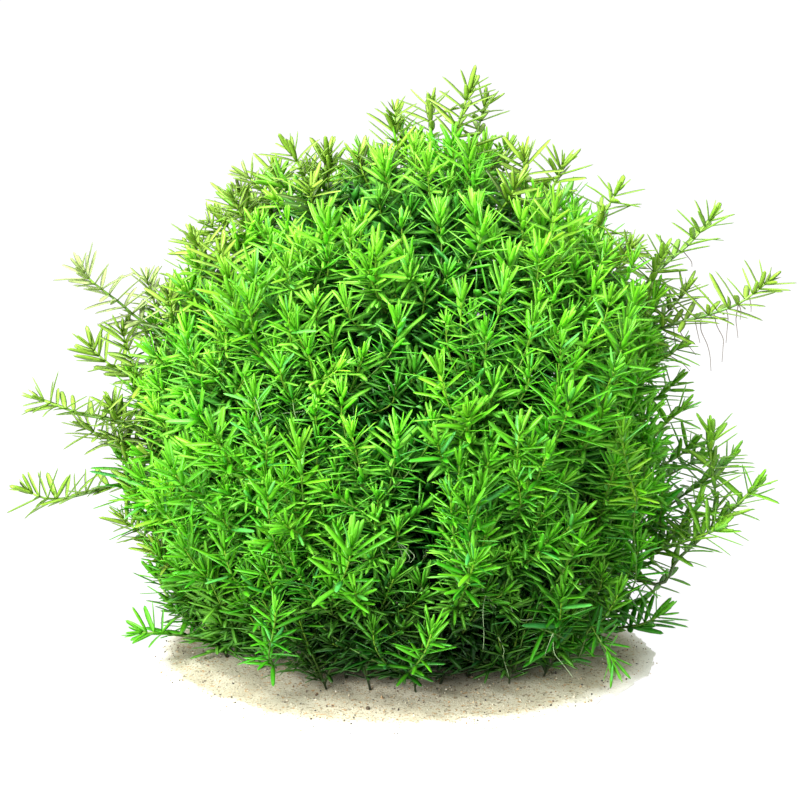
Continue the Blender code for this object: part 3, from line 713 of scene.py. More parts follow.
def main_path(root, tip, passes):
    """A stem that rises from the sand and leans out to its tip, past a point behind it."""
    start = np.array((root[0], root[1], sand_height(root[0], root[1]) + ROOT_GAP))
    rise = STEM_RISE * max(tip[2] - start[2], LEAST_RISE * np.linalg.norm(tip - start))
    lean = np.array((STEM_LEAN * (tip[0] - start[0]), STEM_LEAN * (tip[1] - start[1]), rise))
    return bezier(start, start + lean, passes, tip, MAIN_POINTS)


def branch_index(path, side_tip):
    """The point of a main path that a side shoot parts from, about its own length below its tip."""
    distance = np.linalg.norm(path - side_tip, axis=1)
    nearest = int(np.argmin(distance))
    below = [place for place in range(ROOT_POINTS, nearest + 1) if distance[place] >= SIDE_SHOOT_LENGTH]
    return below[-1] if below else ROOT_POINTS


def branch_path(path, place, tip, heading, curve):
    """A shoot that parts from a path at a small angle and turns to its own heading at its tip."""
    follow, bend, keep, count = curve
    start = path[place]
    along = unit(path[place + 1] - path[place - 1])
    length = np.linalg.norm(tip - start)
    first = start + follow * length * unit(along + bend * unit(tip - start))
    return bezier(start, first, tip - keep * length * heading, tip, count)


def travelled(path):
    """Distance of each point of a path from its start."""
    steps = np.linalg.norm(np.diff(path, axis=0), axis=1)
    return np.concatenate([[0.0], np.cumsum(steps)])


def points_at(path, along, wanted):
    """Points of a path at distances from its start."""
    return np.stack([np.interp(wanted, along, path[:, axis]) for axis in range(3)], axis=1)


def resample(path, stations):
    """Points of a path at distances measured back from its tip."""
    along = travelled(path)
    return points_at(path, along, along[-1] - np.asarray(stations))


def path_length(path):
    """Length of a path."""
    return float(np.sum(np.linalg.norm(np.diff(path, axis=0), axis=1)))


def settle(shoots):
    """Ease the paths of different stems apart, with every root and every tip held where it is."""
    owner = np.concatenate([np.full(len(shoot["path"]), shoot["stem"]) for shoot in shoots])
    starts = np.cumsum([0] + [len(shoot["path"]) for shoot in shoots])
    for _ in range(PATH_ROUNDS):
        everything = np.vstack([shoot["path"] for shoot in shoots])
        step = push_apart(everything, STEM_CLEARANCE, PATH_PUSH, owner)
        for number, shoot in enumerate(shoots):
            path = shoot["path"] + step[starts[number]:starts[number + 1]]
            path[0] = shoot["path"][0]
            path[-1] = shoot["path"][-1]
            smooth = 0.5 * (path[:-2] + path[2:])
            path[1:-1] += SMOOTHING * (smooth - path[1:-1])
            floor = sand_height(path[1:-1, 0], path[1:-1, 1])
            rise = np.minimum(POINT_RISE * np.arange(1, len(path) - 1), SAND_CLEARANCE)
            path[1:-1, 2] = np.maximum(path[1:-1, 2], floor + rise)
            shoot["path"] = path
        for shoot in shoots:
            if shoot["parent"] is not None:
                shoot["path"][0] = shoots[shoot["parent"]]["path"][shoot["place"]]


def grow():
    """Every shoot of the clump, as a path from its root or its fork to its tip."""
    free_tips = spread_free_tips()
    tips = np.vstack([np.array([shoot[1] for shoot in OUTLYING_SHOOTS]), free_tips])
    side_tips = spread_side_tips(tips)
    roots = planted_points(tips)
    free_headings = crown_heading(free_tips)
    shoots = []
    for stem, tip in enumerate(tips):
        if stem < len(OUTLYING_SHOOTS):
            area, _, passes, seen_side_tip = OUTLYING_SHOOTS[stem]
            passes = np.array(passes)
        else:
            heading = free_headings[stem - len(OUTLYING_SHOOTS)]
            area, seen_side_tip = area_of(tip), None
            passes = tip - PASS_SHARE * np.linalg.norm(tip - np.append(roots[stem], 0.0)) * heading
        path = main_path(roots[stem], tip, passes)
        main_number = len(shoots)
        shoots.append({"stem": stem, "area": area, "path": path, "parent": None, "place": 0})
        for side in range(SIDE_SHOOTS):
            side_tip = side_tips[stem, side]
            heading = crown_heading(side_tip[None, :])[0]
            if side == 0 and seen_side_tip is not None:
                side_tip = np.array(seen_side_tip)
                heading = unit(tip - passes)
            place = branch_index(path, side_tip)
            branch = branch_path(path, place, side_tip, heading, SIDE_CURVE)
            shoots.append({"stem": stem, "area": area, "path": branch, "parent": main_number,
                           "place": place})
    settle(shoots)
    return shoots


def area_of(tip):
    """The side of the clump that a tip is on."""
    if tip[2] > CROWN_WAIST_Z + TOP_RISE:
        return "top"
    angle = math.degrees(math.atan2(tip[1], tip[0]))
    for area, lowest in (("front", -135.0), ("right", -45.0), ("back", 45.0)):
        if lowest <= angle < lowest + 90.0:
            return area
    return "left"


def frame_offset():
    """How far the solids of the frame were moved from the formulas' own origin."""
    angles = FULL_TURN * np.arange(SAND_SEGMENTS) / SAND_SEGMENTS
    rim = np.stack([SAND_HALF_WIDTH * np.cos(angles), SAND_HALF_DEPTH * np.sin(angles)], axis=1)
    rim = rim * sand_reach(angles)[:, None]
    low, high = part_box("sand")
    middle = 0.5 * (rim.min(axis=0) + rim.max(axis=0))
    return np.array((middle[0] - 0.5 * (low[0] + high[0]), middle[1] - 0.5 * (low[1] + high[1]), 0.0))


def fine_path(path, step):
    """A path with points at even steps, and the distance of each from the path's tip."""
    length = path_length(path)
    count = max(3, int(math.ceil(length / step)) + 1)
    stations = np.linspace(length, 0.0, count)
    return resample(path, stations), stations


def smooth_path(path):
    """Four times as many points on a smooth curve through the path's own points."""
    ends = np.vstack([2.0 * path[:1] - path[1:2], path, 2.0 * path[-1:] - path[-2:-1]])
    before, start, end, after = ends[:-3], ends[1:-2], ends[2:-1], ends[3:]
    pieces = []
    for share in (0.0, 0.25, 0.5, 0.75):
        square, cube = share ** 2, share ** 3
        pieces.append(0.5 * (2.0 * start + (end - before) * share
                             + (2.0 * before - 5.0 * start + 4.0 * end - after) * square
                             + (3.0 * start - before - 3.0 * end + after) * cube))
    return np.vstack([np.stack(pieces, axis=1).reshape(-1, 3), path[-1:]])


def picture_axes():
    """The photograph's viewpoint, and its directions forward and upward."""
    forward = np.array((0.0, math.cos(CAMERA_ELEVATION), -math.sin(CAMERA_ELEVATION)))
    upward = np.array((0.0, math.sin(CAMERA_ELEVATION), math.cos(CAMERA_ELEVATION)))
    return np.array((0.0, 0.0, VIEW_CENTRE_HEIGHT)) - CAMERA_DISTANCE * forward, forward, upward


def picture_place(points):
    """Where points show in the photograph: across and down, in its pixels."""
    viewpoint, forward, upward = picture_axes()
    rays = points - viewpoint
    reach = rays @ forward
    across = HALF_PICTURE + PICTURE_FOCUS * rays[..., 0] / reach
    return np.stack([across, HALF_PICTURE - PICTURE_FOCUS * (rays @ upward) / reach], axis=-1)


def picture_point(across, down, depth):
    """The point that shows at a place of the photograph and has this depth."""
    viewpoint, forward, upward = picture_axes()
    way = forward + ((across - HALF_PICTURE) * np.array((1.0, 0.0, 0.0))
                     - (down - HALF_PICTURE) * upward) / PICTURE_FOCUS
    return viewpoint + way * (depth - viewpoint[1]) / way[1]


def bent(path, places):
    """A path whose last stretch runs through places of the photograph, given from its tip inwards."""
    places = np.array(places, dtype=float)
    shown = picture_place(path)
    join = int(np.argmin(np.hypot(shown[:, 0] - places[-1, 0], shown[:, 1] - places[-1, 1])))
    join = max(ROOT_POINTS, min(join, len(path) - 1))
    along = travelled(places)
    depths = path[-1, 1] + (path[join, 1] - path[-1, 1]) * along / along[-1]
    points = [picture_point(across, down, depth) for (across, down), depth in zip(places, depths)]
    return np.vstack([path[:join - 1], np.array(points)[::-1]])


def trimmed(path, cut):
    """A path whose last stretch is cut off."""
    length = path_length(path)
    stations = np.linspace(length, min(cut, LONGEST_CUT * length), len(path))
    return resample(path, stations)


def crown_crossing(path):
    """The last point of a path that lies inside the crown."""
    inside = np.nonzero(crown_level(path) < 1.0)[0]
    return int(inside[-1]) if len(inside) else 1


def dent_depth(points, everywhere):
    """How far the skin is drawn in at points by the dents that the back has too, or by the others."""
    places = picture_place(points)
    total = np.zeros(len(points))
    for across, down, radius, depth, whole in DENTS:
        if whole == everywhere:
            apart = np.hypot(places[:, 0] - across, places[:, 1] - down) / radius
            total += depth * np.exp(-apart ** 2)
    return total if everywhere else np.where(points[:, 1] < 0.0, total, 0.0)


def crown_shift(points):
    """How far the crown's leafy skin stands out at points, the dents of its outline left out."""
    rng = np.random.default_rng(SEED + 4)
    lump = np.zeros(len(points))
    for _ in range(LUMP_WAVES):
        way = unit(rng.normal(0.0, 1.0, 3)) * FULL_TURN / rng.uniform(*LUMP_LENGTHS)
        lump += np.sin(points @ way + rng.uniform(0.0, FULL_PHASE)) * LUMP_HEIGHT / math.sqrt(LUMP_WAVES)
    places = picture_place(points)
    foot = held(1.0 - points[:, 2] / FOOT_HEIGHT) * (points[:, 1] < 0.0)
    lump -= FOOT_DENT * foot + dent_depth(points, False)
    for across, down, depth, *_ in EXTRA_SHOOTS:
        apart = np.hypot((places[:, 0] - across) / ROOM_ACROSS,
                         (places[:, 1] - down - ROOM_BELOW) / ROOM_DOWN)
        near = np.abs(points[:, 1] - depth) < ROOM_DEPTH
        lump -= np.where(near, EXTRA_ROOM * np.exp(-apart ** 2), 0.0)
    return lump


def spread_twig_tips(anchors):
    """Tips of the twigs: around each anchor, and evenly over what is left of the crown."""
    headings = crown_heading(anchors)
    count = len(anchors)
    owner = np.repeat(np.arange(count), TWIGS_PER_TIP)
    turn = np.tile(np.arange(TWIGS_PER_TIP), count)
    across = unit(np.cross(headings, UPRIGHT))
    below = np.cross(headings, across)
    angle = SIDE_TURN * owner + FULL_TURN * turn / TWIGS_PER_TIP
    tips = anchors[owner] + TWIG_SPREAD * (across[owner] * np.cos(angle)[:, None]
                                           + below[owner] * np.sin(angle)[:, None])
    return tied_tips(to_crown(tips), anchors, owner, TWIG_SPACING, TWIG_REACH, TWIG_ROUNDS), owner


def leafy_shoot(shoot, kind, clear, size, path):
    """What is known of a shoot or twig: its stem, its kind, its leaves' size and its path."""
    return {"stem": shoot["stem"], "area": shoot["area"], "kind": kind, "clear": clear,
            "size": size, "path": path}


def twig_bearers(shoots):
    """Shoots that bear twigs on the crown: number, smooth path and the point where each meets it."""
    bearers = []
    for number, shoot in enumerate(shoots):
        path = smooth_path(shoot["path"])
        if crown_level(path[-1:])[0] <= CLEAR_LEVEL:
            bearers.append((number, path, len(path) - 1))
        elif shoot["parent"] is None:
            bearers.append((number, path, crown_crossing(path)))
    return bearers


def grow_twigs(shoots, rng):
    """Twigs on every shoot that reaches the crown."""
    bearers = twig_bearers(shoots)
    anchors = to_crown(np.array([path[place] for _, path, place in bearers]))
    tips, owner = spread_twig_tips(anchors)
    out = crown_heading(tips)
    lean = rng.normal(0.0, TWIG_LEAN, (len(tips), 3))
    headings = unit(out + TWIG_LIFT * UPRIGHT * rng.uniform(*TWIG_LIFTS, (len(tips), 1)) + lean)
    uneven = np.clip(rng.normal(-TIP_SINK, TIP_UNEVEN, len(tips)), -MOST_UNEVEN, MOST_UNEVEN)
    shift = crown_shift(tips) + uneven
    deep = np.arange(len(tips)) % TWIGS_PER_TIP >= TWIGS_PER_TIP - DEEP_TWIGS
    shift -= np.where(deep, rng.uniform(*DEEP_SHIFT, len(tips)), 0.0) + dent_depth(tips, True)
    tips = tips + out * shift[:, None]
    tips[:, 1] = np.clip(tips[:, 1], -DEEPEST_TIP, DEEPEST_TIP)
    low = held(1.0 - tips[:, 2] / FOOT_HEIGHT) * held(-tips[:, 1] / FRONT_SPAN)
    lowest = LOWEST_TWIG + FOOT_SLOPE * np.clip(-tips[:, 1], 0.0, None)
    tips[:, 2] = np.clip(tips[:, 2] + FOOT_LIFT * low, lowest, HIGHEST_TIP)
    open_front = (tips[:, 1] < OPEN_FRONT_DEPTH) & (tips[:, 2] < OPEN_FRONT_HEIGHT)
    kept = ~(open_front & deep & (np.arange(len(tips)) % OPEN_FRONT_RUN > 0))
    sizes = 1.0 + OPEN_FRONT_GAIN * (open_front & ~deep)
    twigs = []
    for tip, heading, bearer, size in zip(tips[kept], headings[kept], owner[kept], sizes[kept]):
        number, path, place = bearers[bearer]
        distance = np.linalg.norm(path[:place + 1] - tip, axis=1)
        nearest = int(np.argmin(distance))
        below = np.nonzero(distance[:nearest + 1] >= TWIG_LENGTH)[0]
        fork = max(2, int(below[-1]) if len(below) else 2)
        branch = branch_path(path, fork, tip, heading, TWIG_CURVE)
        twigs.append(leafy_shoot(shoots[number], "twig", False, size, branch))
    return twigs


def grow_extra_shoots(shoots):
    """The shoots that the photograph shows best, each on the nearest stem behind its tip."""
    paths = [smooth_path(shoot["path"]) for shoot in shoots]
    twigs = []
    for across, down, depth, lean, nod, size, clear in EXTRA_SHOOTS:
        tip = picture_point(across, down, depth)
        lean, nod = math.tan(math.radians(lean)), math.tan(math.radians(NOD_SHARE * nod))
        heading = unit(np.array((lean, -nod, 1.0)))
        wanted = tip - EXTRA_LENGTH * heading
        best = None
        for number, path in enumerate(paths):
            above = np.clip(path[:, 2] - tip[2], 0.0, None)
            distance = np.linalg.norm(path - wanted, axis=1) + ABOVE_WEIGHT * above
            fork = int(np.clip(np.argmin(distance), 1, len(path) - 2))
            if best is None or distance[fork] < best[0]:
                best = (distance[fork], number, fork)
        _, number, fork = best
        branch = branch_path(paths[number], fork, tip, heading, TWIG_CURVE)
        twigs.append(leafy_shoot(shoots[number], "twig", clear, size, branch))
    return twigs


def inner_twig(path, number, rng):
    """A short twig that leaves a point of a path and ends inside the crown."""
    along = unit(path[number + 1] - path[number - 1])
    across = unit(np.cross(along, rng.normal(0.0, 1.0, 3)))
    heading = unit(INNER_FOLLOW * along + across)
    length = INNER_TWIG_LENGTH * rng.uniform(*INNER_LENGTHS)
    towards = unit(heading + INNER_LIGHT * UPRIGHT)
    for _ in range(SHORTENINGS):
        if crown_level((path[number] + length * towards)[None])[0] > INNER_TIP_LEVEL:
            length *= SHORTER
    tip = path[number] + length * towards
    tip[2] = max(tip[2], LOWEST_TWIG)
    follow, keep = INNER_CURVE
    first = path[number] + follow * length * unit(along + across)
    last = tip - keep * length * unit(heading + INNER_END_LIGHT * UPRIGHT)
    return bezier(path[number], first, last, tip, TWIG_POINTS)


def grow_inner_twigs(shoots, rng):
    """Short leafy twigs all along the stems inside the crown."""
    twigs = []
    for shoot in shoots:
        if shoot["parent"] is not None:
            continue
        path, stations = fine_path(shoot["path"], INNER_STATION_STEP)
        level = crown_level(path)
        place = INNER_TWIG_START
        while place < stations[0] - INNER_TWIG_END:
            number = int(np.argmin(np.abs(stations[0] - stations - place)))
            place += INNER_TWIG_STEP * rng.uniform(*INNER_STEPS)
            if level[number] <= INNER_TWIG_LEVEL and 2 <= number <= len(path) - 3:
                twigs.append(leafy_shoot(shoot, "inner", False, 1.0, inner_twig(path, number, rng)))
    return twigs


def raised_tip(path, rise):
    """A path whose last stretch turns up to the light."""
    along = travelled(path)
    near = held(1.0 - (along[-1] - along) / min(TIP_RISE_LENGTH, along[-1]))
    return path + UPRIGHT * (rise * near ** 2)[:, None]


def own_shoot(number, shoot, rng):
    """A stem's own shoot as it is seen: cut to its length, with its tip raised where it hangs low."""
    path = smooth_path(shoot["path"])
    tip = path[-1]
    seen = number in SEEN_STEMS
    beyond = crown_level(path[-1:])[0] > CLEAR_LEVEL or dent_depth(path[-1:], True)[0] > CLEAR_DENT
    outside = bool(beyond or seen)
    cut = CLEAR_CUT if outside else max(0.0, rng.uniform(0.0, SPARE_CUT) - crown_shift(path[-1:])[0])
    front = bool(tip[1] < FRONT_DEPTH)
    low = bool(tip[2] < LOW_TIP and tip[1] < LOW_TIP_DEPTH and not seen)
    cut = 0.0 if seen else cut + LOW_CUT * low
    rise = FOOT_LIFT if low else FRONT_RISE * (front and not seen)
    kind = "main" if shoot["parent"] is None else "side"
    path = raised_tip(trimmed(path, cut), rise)
    return leafy_shoot(shoot, kind, outside and not front, LOW_SIZE if low else 1.0, path)


def dressed_shoots(offset):
    """Every shoot of the clump with its twigs, in the frame's own place."""
    shoots = grow()
    rng = np.random.default_rng(SEED + 3)
    for number, places in SEEN_STEMS.items():
        shoots[number]["path"] = bent(shoots[number]["path"], places)
    everything = [own_shoot(number, shoot, rng) for number, shoot in enumerate(shoots)]
    twigs = grow_twigs(shoots, rng) + grow_extra_shoots(shoots) + grow_inner_twigs(shoots, rng)
    everything += [dict(twig, path=smooth_path(twig["path"])) for twig in twigs]
    for shoot in everything:
        shoot["level"] = crown_level(shoot["path"]) + DENT_LEVEL * dent_depth(shoot["path"], True)
        shoot["place"] = picture_place(shoot["path"][-1])
        shoot["pale"] = paleness(shoot, rng.uniform(0.0, 1.0))
        rise = TIP_RISE if shoot["kind"] == "twig" and not shoot["clear"] else 0.0
        shoot["path"] = raised_tip(shoot["path"], rise) - offset
    return everything


def paleness(shoot, chance):
    """Paleness, partly painted backlight: most where a shoot stands clear, and at the crown's upper left.
    """
    tip = shoot["path"][-1]
    outline = crown_level((tip * np.array((1.0, 0.0, 1.0)))[None])[0]
    across, down = shoot["place"]
    left = eased(across, *PALE_ACROSS) * eased(down, *PALE_DOWN)
    near = held(PALE_NEAR[0] - abs(tip[1]) / PALE_NEAR[1])
    at_edge = held((outline - PALE_LEVEL[0]) / PALE_LEVEL[1])
    high = held((tip[2] - PALE_HIGH[0]) / PALE_HIGH[1])
    behind = held((tip[1] - PALE_BACK[0]) / PALE_BACK[1])
    pale = max(at_edge * left * near * EDGE_PALENESS * (1.0 + chance), HIGH_PALENESS * chance * high,
               BACK_PALENESS * chance ** 1.5 * behind)
    if shoot["clear"] and tip[2] > LOW_TIP:
        greener = eased(across, *GREENER_ACROSS) * max(LEAST_GREENER, eased(down, *GREENER_DOWN))
        pale = max(pale, CLEAR_PALENESS + CLEAR_UNEVEN * chance - MOST_GREENER * greener)
    return float(min(pale, 1.0))


def whorl_places(length, stretch, first_whorls):
    """Distances of a shoot's whorls from its tip."""
    places = [place * stretch for place in first_whorls if place * stretch < length]
    while places[-1] + INTERNODE * stretch < length - WHORL_END:
        places.append(places[-1] + INTERNODE * stretch)
    return np.array(places)


def whorl_directions(axis, turns, place, way, rng):
    """The directions in which a whorl's leaves point, and the directions that their upper sides face."""
    first = unit(np.cross(axis, (0.31, 0.95, 0.05)))
    second = np.cross(axis, first)
    opening = np.interp(place, OPENING_PLACES, way["openings"]) + rng.normal(0.0, LEAF_TILT, WHORL_LEAVES)
    opening = np.radians(np.clip(opening, *OPENINGS_HELD))
    out = np.cos(turns)[:, None] * first + np.sin(turns)[:, None] * second
    heading = np.cos(opening)[:, None] * axis + np.sin(opening)[:, None] * out
    face = np.sin(opening)[:, None] * axis - np.cos(opening)[:, None] * out
    twist = rng.normal(0.0, LEAF_TWIST, WHORL_LEAVES)
    side = np.cross(heading, face)
    return heading, np.cos(twist)[:, None] * face + np.sin(twist)[:, None] * side


def held_up(heading, face, feet, reach):
    """Directions of leaves that would touch the sand, turned up until they clear it."""
    hanging = held((feet[:, 0] - HANGING_FROM) / HANGING_SPAN)
    lowest = LOWEST_LEAF + LEAF_SLOPE * np.abs(feet[:, 1]) * (1.0 - hanging)
    heading[:, 2] = np.maximum(heading[:, 2], np.minimum((lowest - feet[:, 2]) / reach, MOST_LIFT))
    heading = unit(heading)
    return heading, unit(face - heading * np.sum(face * heading, axis=1)[:, None])


def add_leaves(shoot, rng, leaves):
    """Add the leaves of one shoot to the table of leaves, a row for each."""
    path, clear = shoot["path"], shoot["clear"]
    along = travelled(path)
    way = STANDING_CLEAR if clear else IN_CROWN
    stretch = rng.uniform(*way["stretch"])
    places = whorl_places(along[-1], stretch, way["whorls"])
    size = shoot["size"] * rng.uniform(*way["size"])
    across, down = shoot["place"]
    # Painted light: the shoot's tone is warmer and lighter towards the sides and the top of the picture.
    painted_light_tone = (TONE_BASE + TONE_RIM_LIGHT[0] * abs(across - TONE_MIDDLE) / TONE_RIM_LIGHT[1]
            + TONE_TOP_LIGHT[0] * (HALF_PICTURE - down) / TONE_TOP_LIGHT[1])
    tone = held(painted_light_tone + rng.normal(0.0, TONE_UNEVEN))
    first_turn = rng.uniform(0.0, FULL_TURN)
    if clear:
        # The leaves of whorls in line reach left, right, back and front.
        first_turn = rng.normal(0.0, CLEAR_TURN)
    pull = way["light"] + rng.uniform(-LIGHT_UNEVEN, LIGHT_UNEVEN)
    at = along[-1] - places
    centres, ahead, behind = (points_at(path, along, at + step) for step in (0.0, WHORL_STEP, -WHORL_STEP))
    runs = unit(ahead - behind)
    depth = np.interp(at, along, shoot["level"])
    for number, place in enumerate(places):
        inner = depth[number] < INNER_LEVEL
        if inner and (place < BUD_PLACE or (shoot["kind"] != "inner" and number % INNER_RUN == 1)):
            continue
        light = pull * np.interp(place, LIGHT_PLACES, LIGHT_SHARES)
        axis = unit(runs[number] * (1.0 - light) + UPRIGHT * light)
        turns = (first_turn + way["turn"] * number + FULL_TURN * np.arange(WHORL_LEAVES) / WHORL_LEAVES
                 + rng.normal(0.0, way["sway"], WHORL_LEAVES))
        heading, face = whorl_directions(axis, turns, place, way, rng)
        share = np.interp(place, LENGTH_PLACES, way["lengths"])
        reach = LEAF_LENGTH * size * share * rng.uniform(*REACHES, WHORL_LEAVES)
        width = LEAF_HALF_WIDTH * size * share ** WIDTH_POWER * way["width"]
        width = width * rng.uniform(*WIDTHS, WHORL_LEAVES)
        if inner:
            reach = reach * INNER_LENGTH_GAIN
            width = width * INNER_WIDTH_GAIN
        curve = rng.normal(*LEAF_CURVE, WHORL_LEAVES) - BUD_CURVE * (place < BUD_PLACE)
        own_tone = rng.uniform(0.0, 1.0, WHORL_LEAVES)
        leaf_tone = held((1.0 - LEAF_TONE_SHARE) * tone + LEAF_TONE_SHARE * own_tone)
        # A random pick for the painted cyan reflection.
        sheen_pick = rng.uniform(0.0, 1.0, WHORL_LEAVES)
        kept = rng.uniform(0.0, 1.0, WHORL_LEAVES) > MISSING_SHARE * (place > FULL_PLACE)
        outwards = heading - runs[number] * (heading @ runs[number])[:, None]
        feet = centres[number] + FOOT_PLACE * TIP_RADIUS * unit(outwards)
        heading, face = held_up(heading, face, feet, reach)
        for leaf in np.nonzero(kept)[0]:
            leaves.append((shoot["stem"], feet[leaf], heading[leaf], face[leaf], reach[leaf], width[leaf],
                           curve[leaf], leaf_tone[leaf], sheen_pick[leaf], place, depth[number], shoot["pale"]))


def leaf_table(shoots):
    """The leaves of all shoots as one table of arrays."""
    rng = np.random.default_rng(SEED)
    leaves = []
    for shoot in shoots:
        add_leaves(shoot, rng, leaves)
    columns = list(zip(*leaves))
    return {name: np.array(column) for name, column in zip(LEAF_COLUMNS, columns)}


def skin_faces(places, sides):
    """Faces of a closed skin between rings at places along it, and their corners' places on the map."""
    places = np.array(places)
    ring, side = (index.ravel() for index in np.mgrid[:len(places) - 1, :sides])
    corners = ((0, 0), (0, 1), (1, 1), (1, 0))
    quads = [(ring + up) * sides + (side + on) % sides for up, on in corners]
    spots = [np.stack([places[ring + up], (side + on) / sides], axis=1) for up, on in corners]
    return np.stack(quads, axis=1), np.stack(spots, axis=1)


def leaf_template(rings, sides):
    """Faces of a leaf's skin, tip and foot, each kind with its corners' places on the map."""
    last = (len(rings) - 1) * sides
    tip = [(last + side, last + (side + 1) % sides, last + sides) for side in range(sides)]
    tip_spots = [((rings[-1], side / sides), (rings[-1], (side + 1) / sides), (1.0, (side + 0.5) / sides))
                 for side in range(sides)]
    foot = [tuple(range(sides))[::-1]]
    foot_spots = [[(rings[0], 1.0 - (side + 0.5) / sides) for side in range(sides)]]
    return skin_faces(rings, sides), (np.array(tip), tip_spots), (np.array(foot), foot_spots)


def leaf_points(leaves, rings, sides):
    """Points of each leaf: those round each ring, then its tip, with their shares to the edge."""
    count = len(leaves["length"])
    heading, face = leaves["heading"], leaves["face"]
    side = np.cross(heading, face)
    length, width, curve = leaves["length"], leaves["width"], leaves["curve"]
    points = np.empty((count, sides * len(rings) + 1, 3))
    edge = np.zeros((count, sides * len(rings) + 1))
    for number, place in enumerate(rings):
        middle = (leaves["foot"] + heading * (length * place)[:, None]
                  - face * (length * curve * place ** 2)[:, None])
        half = width * np.interp(place, PROFILE_PLACES, PROFILE_WIDTHS)
        thick = LEAF_THICKNESS * (1.0 - THINNING * place) * (1.0 + PALE_THICKENING * leaves["pale"])
        under = face * (UNDER_SHARE * thick)[:, None]
        over = face * (OVER_SHARE * thick)[:, None]
        lift = face * (GUTTER * half)[:, None]
        start = sides * number
        points[:, start] = middle - side * half[:, None] + lift
        points[:, start + 1] = middle - under
        points[:, start + 2] = middle + side * half[:, None] + lift
        if sides == FULL_SIDES:
            points[:, start + 3] = middle + over
        edge[:, (start, start + 2)] = 1.0
    points[:, -1] = leaves["foot"] + heading * length[:, None] - face * (length * curve)[:, None]
    edge[:, -1] = 1.0
    points[..., 2] = np.maximum(points[..., 2], LOWEST_POINT)
    return points, edge


def new_store():
    """An empty list of the parts of a mesh."""
    return {"points": [], "faces": [], "spots": [], "values": [], "materials": [], "count": 0}


def add_faces(store, faces, spots, material):
    """Add faces of one size to a store, with their corners' places on the map."""
    store["faces"] += (faces + store["count"]).tolist()
    store["spots"].append(spots.reshape(-1, 2))
    store["materials"] += [material] * len(faces)


def add_points(store, points, values):
    """Add the points that the faces added before them join, with their values."""
    store["points"].append(points)
    store["values"].append(values)
    store["count"] += len(points)


def foot_shade(leaves, inside):
    """How far leaves lie in the shade at the foot: most inside, and less to the sides."""
    low = held((FOOT_SHADE_HEIGHT - leaves["foot"][:, 2]) / FOOT_SHADE_SPAN)
    sideways = held((np.abs(leaves["foot"][:, 0]) - FOOT_SHADE_SIDE) / FOOT_SHADE_SIDE)
    start, span = FOOT_SHADE_INSIDE
    covered = np.clip((inside - start) / span, LEAST_FOOT_SHADE, 1.0)
    return low * covered * (1.0 - FOOT_SHADE_EASE * sideways)


def store_leaves(store, leaves, chosen, rings, sides, cells, columns):
    """Add the chosen leaves to a store, each in a cell of its own on the map."""
    index = np.nonzero(chosen)[0]
    if not len(index):
        return
    picked = {name: column[index] for name, column in leaves.items()}
    points, edge = leaf_points(picked, rings, sides)
    count, size = points.shape[:2]
    # How deep a leaf lies in the crown; it carries painted shade and light into the leaf colour.
    inside = held((OUTER_LEVEL - picked["level"]) / INSIDE_SPAN)
    same = np.stack([picked["tone"], picked["sheen_pick"], held(picked["place"] / YOUNG_LENGTH),
                     inside, picked["pale"], foot_shade(picked, inside)], axis=1)
    values = np.concatenate([np.repeat(same[:, None], size, axis=1), edge[..., None]], axis=2)
    starts = (np.arange(count) * size)[:, None, None]
    corner = np.stack([cells[index] % columns, cells[index] // columns], axis=1)
    for faces, spots in leaf_template(rings, sides):
        spots = (np.array(spots)[None] * CELL_SIZE + CELL_CORNER + corner[:, None, None]) / columns
        spots[..., 1] = LEAF_MAP_FOOT + (1.0 - LEAF_MAP_FOOT) * spots[..., 1]
        add_faces(store, (faces[None] + starts).reshape(-1, faces.shape[1]), spots, 0)
    add_points(store, points.reshape(-1, 3), values.reshape(-1, len(VALUE_NAMES)))


def carried_axes(points):
    """Two directions across a path at each of its points, carried along without twisting."""
    runs = unit(np.diff(points, axis=0))
    along = unit(np.vstack([runs[:1], runs[:-1] + runs[1:], runs[-1:]]))
    side = unit(np.cross(along[0], (0.43, 0.9, 0.1)))
    sides = []
    for direction in along:
        side = unit(side - direction * np.dot(side, direction))
        sides.append(side)
    sides = np.array(sides)
    return sides, np.cross(along, sides)


def store_tube(store, points, radii, sides, row, rows, values, material):
    """Add a closed round tube along points to a store, in a row of its own on the map."""
    first, second = carried_axes(points)
    turns = FULL_TURN * np.arange(sides) / sides
    ring = np.cos(turns)[None, :, None] * first[:, None] + np.sin(turns)[None, :, None] * second[:, None]
    skin = points[:, None] + ring * radii[:, None, None]
    last = len(points) - 1
    quads, spots = skin_faces(np.arange(last + 1) / last, sides)
    cap = np.array([tuple(range(sides))[::-1]])
    cap_spots = np.stack([CAP_MIDDLE[0] + CAP_RADIUS[0] * np.cos(turns),
                          CAP_MIDDLE[1] + CAP_RADIUS[1] * np.sin(turns) + row], axis=1)
    row_height = np.array((1.0, LEAF_MAP_FOOT / rows))
    spots = spots * ROW_SIZE + np.array(ROW_CORNER) + np.array((0.0, row))
    add_faces(store, quads, spots * row_height, material)
    add_faces(store, last * sides + cap[:, ::-1], cap_spots[::-1] * row_height + CAP_APART, material)
    add_faces(store, cap, cap_spots * row_height, material)
    add_points(store, skin.reshape(-1, 3), np.repeat(values, sides, axis=0))


def new_piece(name, points, faces, values, materials):
    """A mesh object whose points carry a value under each name."""
    mesh = bpy.data.meshes.new(name)
    mesh.from_pydata(points, [], faces)
    for value_name, column in values.items():
        attribute = mesh.attributes.new(value_name, "FLOAT", "POINT")
        attribute.data.foreach_set("value", column.astype(np.float32))
    for material in materials:
        mesh.materials.append(material)
    piece = bpy.data.objects.new(name, mesh)
    bpy.context.scene.collection.objects.link(piece)
    return piece


